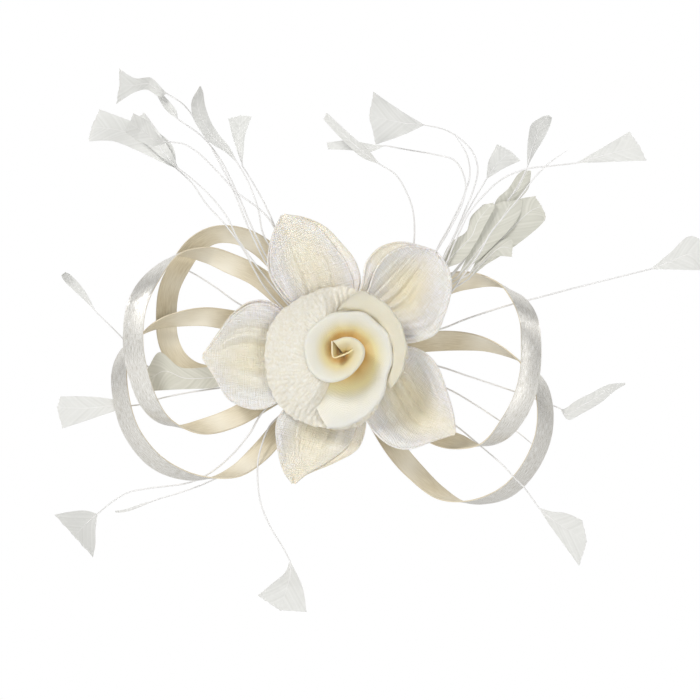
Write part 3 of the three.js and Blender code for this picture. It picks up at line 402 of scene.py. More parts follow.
def petal_material(name, thread, gap, hollow_shade):
    """Shiny fine mesh: pearly threads, a warmer colour between them, and a warmer painted shade in the
    hollows.
    """
    material, n = new_material(
        name,
        Roughness=0.34,
        Specular_IOR_Level=1.0,
        Sheen_Weight=0.45,
        Sheen_Roughness=0.35,
        Subsurface_Weight=0.4,
        Subsurface_Radius=(1.0, 0.8, 0.6),
        Subsurface_Scale=0.0012,
    )
    weave = n.weave(1.0, 0.95)
    warp_slubs = n.noise(1.0, 1.0, n.stretched(0.2, 1.6))
    weft_slubs = n.noise(1.0, 1.0, n.stretched(1.6, 0.2))
    slubs = n.math("ADD", warp_slubs, weft_slubs)
    rosy = n.span(n.noise(45.0, 2.0), 0.4, 0.6)
    pale = n.mix(rosy, thread, (1.0, 0.95, 0.95))
    worn = n.mix(n.span(slubs, 0.75, 1.25, 0.45, 1.0), gap, pale)
    cloth = n.mix(n.span(weave, 0.0, 0.4, 0.1, 1.0), gap, worn)
    # Painted shade: warmer towards the back of the cup, where its hollows are.
    hollow = n.math("MULTIPLY", n.height(-38, -30.5), 0.85)
    n.paint(n.mix(hollow, cloth, hollow_shade))
    height = n.math("ADD", weave, n.math("MULTIPLY", slubs, 1.2))
    n.relief(height, 0.0005, 0.6)
    return material


def organza_material(name, plain, pale):
    """Soft matt organza with a fine weave on the bias, with painted amber shade where the roll goes far in,
    and a yellower painted shade near its axis.
    """
    material, n = new_material(
        name,
        Roughness=0.55,
        Specular_IOR_Level=0.4,
        Sheen_Weight=0.25,
        Sheen_Roughness=0.5,
        Subsurface_Weight=0.5,
        Subsurface_Radius=(1.0, 0.8, 0.5),
        Subsurface_Scale=0.003,
    )
    weave = n.weave(0.8, 0.8, 38)
    lip = n.mix(n.noise(90.0, 2.0), plain, pale)
    # The strip's outer end is as white as the collar that it runs out over.
    lip = n.blend(n.cloth()[0], 105.0, 150.0, lip, (0.95, 0.885, 0.735))
    # Painted warm shade: the lip turns yellower near the rose's axis, at the bud.
    lip = n.mix(n.span(n.from_axis(), 4 * MM, 13 * MM, 1.0, 0.0), lip, (0.94, 0.77, 0.44))
    # Painted amber shade, darkest far down in the roll's funnel.
    shade_in_roll = n.shade_in_roll()
    base = n.blend(shade_in_roll, 0.0, 0.45, lip, (0.98, 0.82, 0.43))
    base = n.blend(shade_in_roll, 0.5, 1.0, base, (0.80, 0.48, 0.17))
    thread = n.span(weave, 0.0, 0.6, 0.2, 0.0)
    n.paint(n.mix(thread, base, (0.88, 0.78, 0.58)))
    n.relief(weave, 0.0003, 0.4)
    return material


def collar_material():
    """Crinkled white organza."""
    material, n = new_material(
        "crinkled_organza",
        Roughness=0.6,
        Specular_IOR_Level=0.4,
        Sheen_Weight=0.3,
        Sheen_Roughness=0.5,
        Subsurface_Weight=0.45,
        Subsurface_Radius=(1.0, 0.85, 0.65),
        Subsurface_Scale=0.0025,
    )
    crinkle = n.noise(1.0, 5.0, n.stretched(0.7, 0.7), 0.8)
    weave = n.weave(0.8, 0.8, 30)
    n.paint(n.blend(crinkle, 0.35, 0.65, (0.83, 0.76, 0.61), (0.91, 0.86, 0.75)))
    height = n.math("ADD", n.math("MULTIPLY", crinkle, 1.2), n.math("MULTIPLY", weave, 0.3))
    n.relief(height, 0.0006, 0.5)
    return material


def satin_material():
    """The ribbon's outside: long metallic floats that shine along the ribbon."""
    material, n = new_material("satin_outside", Roughness=0.3, Metallic=0.75, Specular_IOR_Level=0.6)
    floats = n.noise(1.0, 4.0, n.stretched(0.35, 5.0))
    grain = n.noise(1.0, 2.0, n.stretched(3.0, 6.0))
    n.paint(n.blend(floats, 0.35, 0.65, (0.64, 0.61, 0.54), (1.0, 0.99, 0.96)))
    n.roughen(grain, 0.24, 0.42)
    height = n.math("ADD", floats, n.math("MULTIPLY", grain, 0.4))
    n.relief(height, 0.0002, 0.35)
    return material


def satin_back_material():
    """The ribbon's matt inside, with fine ribs across it: the matt back's own colour, painted a darker tan
    for the shade inside the loops.
    """
    material, n = new_material("satin_inside_painted_shade", Roughness=0.6, Sheen_Weight=0.2, Specular_IOR_Level=0.35)
    along, across = n.cloth()
    ribs = n.math("ABSOLUTE", n.math("SINE", n.math("MULTIPLY", along, math.pi / 0.45)))
    cloud = n.noise(1.0, 3.0, n.stretched(0.2, 2.5))
    # Painted shade: these tans are darker than the ribbon's own ivory, for the shade inside the loops.
    base = n.blend(cloud, 0.35, 0.65, (0.65, 0.56, 0.385), (0.78, 0.70, 0.525))
    drift = n.noise(1.0, 2.0, n.stretched(0.03, 0.03))
    base = n.blend(drift, 0.45, 0.7, base, (0.90, 0.85, 0.72))
    edge = n.span(n.math("ABSOLUTE", across), RIBBON_WIDTH * 0.44, RIBBON_WIDTH * 0.5)
    n.paint(n.mix(edge, base, (0.70, 0.62, 0.46)))
    n.relief(ribs, 0.0001, 0.4)
    return material


def feather_material(name, dark, light):
    """A feather's vane: barbs that slope from the shaft to the edge."""
    material, n = new_material(name, Roughness=0.75, Specular_IOR_Level=0.25, Sheen_Weight=0.1)
    x, y = n.cloth()
    slope = n.math("SUBTRACT", x, n.math("MULTIPLY", n.math("ABSOLUTE", y), 1.2))
    lines = n.add("ShaderNodeCombineXYZ", {"X": n.math("MULTIPLY", slope, 0.6)}).outputs[0]
    barbs = n.noise(1.0, 1.0, lines)
    n.paint(n.blend(barbs, 0.3, 0.7, dark, light))
    n.relief(barbs, 0.0001, 0.2)
    return material


def quill_material():
    """A bare quill: pale scraped horn with faint streaks along it."""
    material, n = new_material("quill", Roughness=0.8, Specular_IOR_Level=0.15)
    streaks = n.noise(1.0, 0.0, n.stretched(0.05, 0.4))
    n.paint(n.blend(streaks, 0.3, 0.7, (0.78, 0.77, 0.755), (0.86, 0.85, 0.84)))
    n.relief(streaks, 0.00002, 0.2)
    return material


def thread_material():
    """Twisted sewing thread."""
    material, n = new_material("thread", Roughness=0.6, Sheen_Weight=0.3)
    x, y = n.cloth()
    twist = n.math("SINE", n.math("ADD", n.math("MULTIPLY", x, 9.0), n.math("MULTIPLY", y, 6.0)))
    n.paint(n.blend(twist, -1.0, 1.0, (0.76, 0.70, 0.59), (0.90, 0.86, 0.77)))
    n.relief(twist, 0.0001, 0.5)
    return material


def felt_material():
    """Pressed felt: matted fibres with faint mottling."""
    material, n = new_material("felt", Roughness=0.95, Sheen_Weight=0.5, Sheen_Roughness=0.6)
    fibres = n.noise(900.0, 6.0, None, 1.2)
    mottle = n.noise(70.0, 3.0)
    base = n.blend(mottle, 0.3, 0.7, (0.82, 0.77, 0.68), (0.90, 0.86, 0.78))
    matted = n.span(fibres, 0.35, 0.6, 0.25, 0.0)
    n.paint(n.mix(matted, base, (0.6, 0.55, 0.46)))
    n.relief(fibres, 0.0004, 0.7)
    return material


def steel_material():
    """Nickel-plated sheet, brushed along the clip and duller where fingers rub it."""
    material, n = new_material("nickel_plate", Metallic=1.0, Roughness=0.3)
    wide = n.add("ShaderNodeMapping", {"Vector": n.place(), "Scale": (60.0, 2500.0, 2500.0)})
    brush = n.noise(1.0, 3.0, wide.outputs[0])
    worn = n.noise(140.0, 3.0)
    n.paint(n.blend(worn, 0.4, 0.7, (0.72, 0.71, 0.69), (0.60, 0.59, 0.57)))
    n.roughen(brush, 0.22, 0.42)
    n.relief(brush, 0.00003, 0.4)
    return material


# The third colour of each is the painted shade of the petals' hollows.
MESH = petal_material("woven_mesh", (1.0, 0.97, 0.92), (0.79, 0.71, 0.57), (0.96, 0.82, 0.55))
LINING = petal_material("woven_lining", (0.94, 0.875, 0.75), (0.82, 0.74, 0.58), (0.86, 0.75, 0.55))
ORGANZA = organza_material("organza", (0.96, 0.88, 0.68), (0.965, 0.895, 0.725))
SHADED_ORGANZA = organza_material("shaded_organza", (0.69, 0.645, 0.52), (0.73, 0.685, 0.57))
CRINKLE = collar_material()
SATIN = satin_material()
SATIN_BACK_SHADED = satin_back_material()
WHITE_VANE = feather_material("white_vane", (0.70, 0.70, 0.67), (0.78, 0.78, 0.755))
CREAM_VANE = feather_material("cream_vane", (0.58, 0.575, 0.50), (0.71, 0.70, 0.63))
QUILL = quill_material()
THREAD = thread_material()
FELT = felt_material()
STEEL = steel_material()


def finish_piece(piece, slot, *nodes):
    """Every soft piece here rides on the root, and stands for its CAD nodes."""
    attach(piece, ROOT_BODY)
    if nodes:
        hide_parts(*nodes)


# ---- Petals ----

BACK_LAYER = -0.4  # how far forward each layer lies of the petal's own surface
FRONT_LAYER = 1.0

# cut is the width and length of one layer, laid flat. Edges are [x, z] points from the stem to the tip.
# hollow is how far the edges stand forward of the cup's floor, lean how far the tip does. inset is how
# far the front layer stops short of the back one's edges, as a share of the width, left and right. roll
# is how far each edge curls back, gathers the number of pleats at the stem, and dent how deep the dimple
# in the middle is.
PETALS = {
    "petal_top": {
        "cut": [42, 60],
        "left": [[-5.5, 6], [-18, 17], [-27, 26], [-32, 35], [-32, 45], [-29.5, 54], [-26.5, 60.5]],
        "right": [[0.5, 6], [5, 20], [9, 30], [7, 39.5], [1, 47.5], [-7, 55.5], [-16, 59.5], [-25, 61]],
        "hollow": 9,
        "lean": 3,
        "inset": [0.04, 0.11],
        "roll": [1.5, 1.5],
        "gathers": 5,
        "dent": 0.8,
    },
    "petal_upper_right": {
        "cut": [56, 61],
        "left": [
            [2.5, 5.5], [7, 20], [10, 30], [12, 39.5], [18, 46], [27.5, 48.5], [35, 47], [43, 44.5],
        ],
        "right": [
            [6.5, 1], [20, 3], [30, 3.2], [37, 4.5], [43, 7.5], [47, 16], [50, 28], [48.5, 37], [44, 43.5],
        ],
        "hollow": 12,
        "lean": 6,
        "inset": [0.12, 0.0],
        "roll": [1.5, 3.0],
        "gathers": 7,
        "dent": 4.2,
    },
    "petal_lower_right": {
        "cut": [52, 60],
        "left": [
            [7, -1], [20, 0], [31, 1.4], [38.5, -1.5], [43.5, -7], [48, -18.5], [51, -29], [52, -37],
        ],
        "right": [
            [3.5, -6], [9, -19], [13, -33], [17, -38.5], [23, -43], [30, -44.5], [43, -40.5], [51.5, -38],
        ],
        "hollow": 11,
        "lean": 2,
        "inset": [0.0, 0.0],
        "roll": [1.5, 2.0],
        "gathers": 6,
        "dent": 4,
    },
    "petal_bottom": {
        "cut": [44, 56],
        "left": [[-5.5, -6.5], [-18, -20], [-28, -31], [-28, -44.5], [-25, -55], [-21.5, -60]],
        "right": [
            [1.5, -7], [7.5, -21], [11.5, -30], [8.5, -43.5], [-2.5, -50.5], [-15, -56], [-20, -60],
        ],
        "hollow": 8,
        "lean": 1,
        "inset": [0.0, 0.12],
        "roll": [1.2, 1.5],
        "gathers": 5,
        "dent": 1.0,
    },
    "petal_left": {
        "cut": [56, 57],
        "left": [
            [-6.5, -4.5], [-19, -16.5], [-28, -23.5], [-35, -26.5], [-42, -26], [-50, -22], [-57, -11],
            [-62, -3.5],
        ],
        "right": [
            [-6.5, 3.5], [-20, 13], [-31, 21.5], [-39.5, 22], [-48, 16.5], [-54.5, 8], [-61.5, -2],
        ],
        "hollow": 9,
        "lean": 3,
        "inset": [0.0, 0.03],
        "roll": [1.5, 1.5],
        "gathers": 6,
        "dent": 1.2,
    },
}


def petal_grid(shape, seed, inset, forward):
    """One layer of a petal, and its thickness there, which grows at the hem."""
    rows, columns = 100, 111
    gathers = shape["gathers"]
    u = np.linspace(0, 1, rows)
    v = np.sin(np.linspace(-math.pi / 2, math.pi / 2, columns))
    left = curve(shape["left"], u)
    right = curve(shape["right"], u)
    half = np.linalg.norm(right - left, axis=1)[:, None] / 2
    u, v = u[:, None], v[None, :]
    open_part = np.sin(math.pi * u) ** 0.6
    near = inset[0] * open_part
    far = inset[1] * open_part
    across = near + (1 - near - far) * (v + 1) / 2
    flat = left[:, None] * (1 - across[..., None]) + right[:, None] * across[..., None]
    side = 2 * across - 1
    cup = shape["hollow"] * side**2 * np.sin(math.pi * u**0.8)
    # An inset edge lies on the layer behind, so only the others curl back.
    left_roll, right_roll = (0.2 if gap else roll for gap, roll in zip(inset, shape["roll"]))
    curl = np.where(v < 0, left_roll, right_roll) * ease(np.abs(v), 0.82, 1.0)
    curl = curl * np.sin(math.pi * u**0.7) ** 0.7
    bowl = shape["dent"] * np.exp(-(((u - 0.58) / 0.15) ** 2) - (side / 0.5) ** 2)
    fan = side + 0.12 * ripple(seed + 2, u, 1.0)
    inner = np.clip(1 - np.abs(v) ** 3, 0, 1)
    pleats = 1.05 * (1 - ease(u, 0.1, 0.9)) * ripple(seed, fan, gathers / 2) * inner
    fine = 0.22 * (1 - ease(u, 0.4, 1.0)) * ripple(seed + 4, fan, gathers * 1.3) * inner
    drift = 0.4 * ripple(seed + 1, u + 0.35 * v, 1.7) * ease(u, 0.1, 0.5) * inner
    y = PETAL_Y - 1.5 - shape["lean"] * u**2 - cup - forward + curl + bowl + pleats + fine + drift
    hem = 0.35 + 0.5 * np.exp(-(((1 - np.abs(v)) * half / 0.8) ** 2))
    return np.stack([flat[..., 0], y, flat[..., 1]], axis=2), hem


def make_petal(name, shape, seed):
    """A petal of two layers of mesh, each with a stitched hem."""
    back = petal_grid(shape, seed, (0.0, 0.0), BACK_LAYER)
    front = petal_grid(shape, seed, shape["inset"], FRONT_LAYER)
    parts = [sheet_parts(grid, hem)[:3] for grid, hem in (back, front)]
    piece = joined(name + "_fabric", parts, [LINING, MESH], [0, 1])
    finish_piece(piece, "mesh", name)


for number, (petal_name, petal_shape) in enumerate(PETALS.items()):
    make_petal(petal_name, petal_shape, GRAIN_SEED + 3 * number)

# ---- Rose ----

# The roll's lip, clockwise seen from the front, from the bud outwards: [x, y, z].
ROLL_LIP = [
    [-3.2, -66.5, 4.3],
    [2.3, -67, 5.6],
    [7.6, -66.8, 4.2],
    [10.8, -66.3, 0.5],
    [10.2, -65.5, -5],
    [4.5, -64.3, -11.2],
    [-5, -63.3, -14.4],
    [-11.7, -62, -11.2],
    [-15.3, -61, -4],
    [-15.8, -60, 3.2],
    [-11.7, -59, 11.2],
    [-2.7, -58.5, 16.2],
    [6.8, -58, 17.1],
    [16.2, -57, 13],
    [22, -56, 5.4],
    [23.2, -55, -4],
    [21.2, -53.8, -13.5],
    [15.8, -52, -25.8],
    [3, -50.5, -34.2],
    [-6, -49.8, -35.2],
]
BUD_FOLD = [
    [7.5, -63.5, 1.8], [4.5, -64.5, -0.8], [0.5, -65.2, -2.6], [-2.9, -66, -3.2], [-3.6, -66.6, 4],
]
ROLL_WALL_RINGS = 9  # lines along the roll from its foot to its lip, outside
BUD_DEPTH = 9.5  # how far back the bud's funnel goes from its lip
FUNNEL_DEPTH = 7  # the same, for the turns round it
TAIL_DEPTH = 1.8  # the same, where the strip runs out flat over the collar
LIP_REACH = 1.0  # how far in from the roll's edge the lip's crest is
LIP_DEPTH = 1.3  # how far back from the crest the lip turns into the outside wall


def roll_grid():
    """The rolled strip: up from the foot on the outside, over the lip, and down the funnel inside."""
    rows = 480
    share = np.linspace(0, 1, rows)
    lip = curve(ROLL_LIP, share)
    lip_y = lip[:, 1]
    flat = lip[:, [0, 2]] - ROSE_AXIS
    radius = np.linalg.norm(flat, axis=1)
    outward = flat / radius[:, None]
    angle = np.unwrap(np.arctan2(flat[:, 1], flat[:, 0]))
    # The lip one turn further in, which the funnel's foot tucks under.
    inner = np.interp(angle + TAU, angle[::-1], radius[::-1])
    turned = ease(angle[0] - angle, TAU - 0.6, TAU + 0.5)
    tail = ease(share, 0.8, 1.0)
    foot_radius = (1 - turned) * 0.08 * radius + turned * (0.88 * inner + 0.4)
    depth = FUNNEL_DEPTH + (TAIL_DEPTH - FUNNEL_DEPTH) * tail
    foot_y = lip_y + (1 - turned) * BUD_DEPTH + turned * depth
    foot_radius = foot_radius + 4 * ease(share, 0.88, 1.0)
    wobble = 0.3 * ripple(41, share, 9)
    swing = np.radians(40) * ease(share, 0.86, 1.0)
    rings = []

    def ring(radial, y, lag=0.0):
        """One line along the strip. lag lets the tail's inner edge run on round the roll."""
        turn = -swing * lag
        x = outward[:, 0] * np.cos(turn) - outward[:, 1] * np.sin(turn)
        z = outward[:, 0] * np.sin(turn) + outward[:, 1] * np.cos(turn)
        reach = radial + wobble
        rings.append(np.stack([ROSE_AXIS[0] + x * reach, y, ROSE_AXIS[1] + z * reach], axis=1))

    out_y = ROLL_Y - 0.2
    for rise in np.linspace(0, 1, ROLL_WALL_RINGS):
        ring(radius * (0.84 + 0.16 * rise**1.2), out_y + (lip_y + LIP_DEPTH - out_y) * rise)
    for bend in np.radians([30, 60, 90]):
        radial = radius - LIP_REACH + LIP_REACH * math.cos(bend)
        ring(radial, lip_y + LIP_DEPTH * (1 - math.sin(bend)))
    start = radius - LIP_REACH
    for step in np.linspace(0, 1, 30)[1:]:
        sag = step**1.7 * (1 - tail) + tail * step
        ring(start + (foot_radius - start) * step, lip_y + (foot_y - lip_y) * sag, step)
    return np.stack(rings, axis=1)


def make_roll():
    grid = roll_grid()
    crest = ROLL_WALL_RINGS + 2  # the ring at the lip's crest, which the cloth's width is measured from
    piece = sheet("rose_roll_fabric", grid, 0.45, [ORGANZA], middle=crest)
    finish_piece(piece, "organza", "rose_roll")


def make_bud():
    """The strip's folded inner end: a thin wall that closes the bud's mouth on two sides."""
    rows = 60
    lip = curve(BUD_FOLD, np.linspace(0, 1, rows))
    rings = []
    for share in np.linspace(0, 1, 14):
        inward = np.array([2.8, 0, 0.4]) - lip
        inward[:, 1] = 0
        point = lip + inward * 0.35 * share**1.3
        point[:, 1] = lip[:, 1] + 9 * share
        rings.append(point)
    piece = sheet("rose_bud_fabric", np.stack(rings, axis=1), 0.5, [ORGANZA])
    finish_piece(piece, "organza", "rose_bud")


def make_outer_petal():
    """The crescent petal behind the roll's right side, with a lip that rolls back."""
    rows, columns = 140, 26
    start, sweep = 95, 131  # degrees round the rose, from its upper end clockwise
    share = np.linspace(0, 1, rows)
    fade = np.sin(math.pi * share) ** 0.4
    lip_radius = 29.3 - 3.8 * share**2.5
    foot_radius = 21 + 1.4 * share**2
    rings = []
    for rise in np.linspace(0, 1, columns):
        # A short steep foot, a broad band that faces the front, and the lip that rolls back.
        out = smooth_values([-0.12, 0.04, 0.35, 0.7, 0.93, 1.0], rise)
        forward = smooth_values([0.3, 0.7, 0.85, 0.97, 1.0, 0.8], rise)
        radial = foot_radius + (lip_radius - foot_radius) * out + 0.25 * ripple(5, share, 5)
        y = ROLL_Y - 0.8 - 8.6 * fade * forward
        angle = np.radians(start - sweep * share - 20 * out * (1 - ease(share, 0, 0.3)))
        outward = np.stack([np.cos(angle), np.sin(angle)], axis=1)
        flat = ROSE_AXIS + outward * radial[:, None]
        rings.append(np.stack([flat[:, 0], y, flat[:, 1]], axis=1))
    piece = sheet("rose_outer_petal_fabric", np.stack(rings, axis=1), 0.6, [SHADED_ORGANZA])
    finish_piece(piece, "organza", "rose_outer_petal")


def collar_puff(radius, angle, edge):
    """How far the collar puffs forward, outside the roll and clear of the outer petal."""
    turn = np.degrees(angle) % 360
    room = ease(turn, 80, 105) * (1 - ease(turn, 238, 265))
    # It starts just under the roll's lip, and the roll isn't centred on the collar.
    near = np.interp(turn, [80, 92, 122, 152, 180, 217, 254], [20.6, 19.5, 17.3, 14.9, 12.9, 11.7, 10.9])
    rise = ease(radius - near, -0.9, 0.6)
    share = np.clip((radius - near) / (edge - near), 0, 1)
    return room * rise * (9 + 3.5 * (1 - share) ** 2) * (1 - share**2.3)


def make_collar():
    """Gathered, crinkled organza that puffs forward round the roll and falls back at its edge."""
    rows, columns = 640, 48
    hole = 11
    fold_count = 34
    angle = np.arange(rows) * TAU / rows
    share = angle / TAU
    outward = np.stack([np.cos(angle), np.sin(angle)], axis=1)
    edge = 32 + 0.6 * np.sin(5 * angle + 1) + 0.3 * np.sin(31 * angle) * np.sin(12 * angle + 2)
    # It is narrower on the lower right, where the roll's tail covers it.
    edge = edge - 5.5 * np.exp(-(((angle - math.radians(335)) / 0.6) ** 2))
    chance = np.random.default_rng(GRAIN_SEED)
    folds = []
    for _ in range(fold_count):
        around = chance.integers(12, 95)
        folds.append((around, chance.uniform(-1, 1) * 60 / around + chance.uniform(-4, 4)))
    rings = []
    for t in np.linspace(0, 1, columns):
        radial = hole + (edge - hole) * t
        crinkle = sum(
            np.sin(around * angle + TAU * slant * t + around) for around, slant in folds
        ) / math.sqrt(fold_count)
        y = COLLAR_Y - 0.9 + 0.9 * t - collar_puff(radial, angle, edge) - (0.14 + 0.3 * t) * crinkle
        flat = COLLAR_AXIS + outward * radial[:, None]
        rings.append(np.stack([flat[:, 0], y, flat[:, 1]], axis=1))
    piece = sheet("rose_collar_fabric", np.stack(rings, axis=1)[:, ::-1], 0.5, [CRINKLE], loop=True)
    finish_piece(piece, "organza", "rose_collar")


make_roll()
make_bud()
make_outer_petal()
make_collar()

# ---- Ribbon loops ----

# Points are [x, y, z, turn], from the binding round and back. turn is the band's twist about its own
# length in degrees: near 0 its outside faces the front, 90 is edge-on, near 180 its inside does.
RIBBONS = {
    "ribbon_loop_left_front": [
        [-11.5, -15, 11.5, 165], [-25, -15, 23, 160], [-38, -15, 33.5, 155],
        [-49.5, -15.5, 39, 155], [-60, -17, 43, 135], [-73, -22, 43, 92], [-85, -27, 32, 48],
        [-91.5, -29.5, 19.5, 28], [-93, -30.5, 2, 24], [-90.5, -30, -11.5, 26],
        [-86, -28.5, -23.5, 36], [-80, -26, -31, 60], [-72.5, -23, -34.5, 90],
        [-61, -20.5, -34.5, 135], [-47, -19, -30, 155], [-34, -18.5, -22.5, 160],
        [-14, -18.5, -9.5, 168],
    ],
    "ribbon_loop_left_back": [
        [-8, -11.5, 14.5, 170], [-22, -11.5, 32, 165], [-35, -12, 46, 155],
        [-45.5, -12.5, 51.5, 142], [-56.5, -12.5, 52, 140], [-65, -12.5, 47.5, 145],
        [-71.5, -12.5, 39, 152], [-77, -13, 28, 155], [-78.5, -13, 15.5, 155],
        [-77.5, -13, 4, 155], [-73, -12.5, -5, 158], [-65, -12, -10.5, 160],
        [-52, -11.5, -11.5, 165], [-16, -11.5, -3.5, 170],
    ],
    "ribbon_loop_left_lower": [
        [-14.5, -18.6, 4.5, 168], [-31, -19, 9.5, 162], [-50, -19.5, 13.5, 155],
        [-61, -20.5, 15, 145], [-72, -21, 14, 130], [-82, -21, 11.5, 110], [-90, -21, 6.5, 88],
        [-97, -20, -1.5, 62], [-99.5, -19.5, -10, 47], [-98.5, -19, -23, 42],
        [-94, -19, -37, 42], [-83.5, -19.5, -50, 46], [-70, -20, -56.5, 66],
        [-57, -20, -57.5, 92], [-46.5, -18, -54.5, 125], [-37, -16, -47, 148],
        [-28, -14.5, -37, 155], [-8.5, -13, -14, 168],
    ],
    "ribbon_loop_right_front": [
        [14, -16, 8, 168], [32, -15.5, 20, 163], [49.5, -15, 30, 158], [60, -15, 31.5, 135],
        [67, -17, 31, 112], [74, -20, 28.5, 90], [81, -24, 22, 55], [85, -26.5, 13.5, 35],
        [86, -28, 2.5, 25], [85.5, -28, -10, 25], [82, -27.5, -23.5, 22], [75, -26.5, -35, 35],
        [69, -25.5, -40.5, 62], [62.5, -24.5, -43, 90], [54, -23, -41.5, 130],
        [42.5, -22, -38, 150], [11.5, -21, -11.5, 168],
    ],
    "ribbon_loop_right_back": [
        [16, -12, 1, 168], [30, -12, 3, 160], [43, -12, 4, 155], [55, -13, 4, 145],
        [65.5, -14.5, 2.5, 125], [75.5, -16.5, -1.5, 103], [83.5, -18, -7, 80],
        [90, -19, -15.5, 55], [92.5, -19, -26, 45], [91.5, -18, -39.5, 42], [85.5, -17, -53, 44],
        [76.5, -16.5, -63, 52], [66.5, -16.5, -67.5, 68], [56, -16, -68.5, 88],
        [45, -15, -64.5, 125], [34, -14, -55, 145], [25, -13, -44.5, 155],
        [8, -12.5, -14.5, 168],
    ],
}


def make_ribbon(name, points):
    """A band that bows outwards a little across its width, with a thicker selvedge at each edge."""
    rows, columns = 260, 11
    side = 1 if "left" in name else -1
    path = curve(points, np.linspace(0, 1, rows))
    centre = path[:, :3]
    turn = np.radians(path[:, 3])[:, None]
    forward = np.gradient(centre, axis=0)
    forward /= np.linalg.norm(forward, axis=1, keepdims=True)
    outward = np.cross([0, 1, 0], forward)
    outward *= side / np.linalg.norm(outward, axis=1, keepdims=True)
    back = np.cross(forward, outward) * side
    across = outward * np.cos(turn) + back * np.sin(turn)
    outside = -side * np.cross(forward, across)
    v = np.linspace(-1, 1, columns)
    bow = 0.35 * (1 - v**2)
    grid = centre[:, None] + across[:, None] * (v[:, None] * RIBBON_WIDTH / 2)
    grid = grid + outside[:, None] * bow[:, None]
    if side > 0:
        grid = grid[:, ::-1]
    selvedge = RIBBON_THICKNESS + 0.2 * np.exp(-(((1 - np.abs(v)) / 0.08) ** 2))
    piece = sheet(name + "_satin", grid, selvedge[None, :], [SATIN, SATIN_BACK_SHADED])
    finish_piece(piece, "ribbon", name)


for ribbon_name, ribbon_points in RIBBONS.items():
    make_ribbon(ribbon_name, ribbon_points)

# ---- Feathers ----

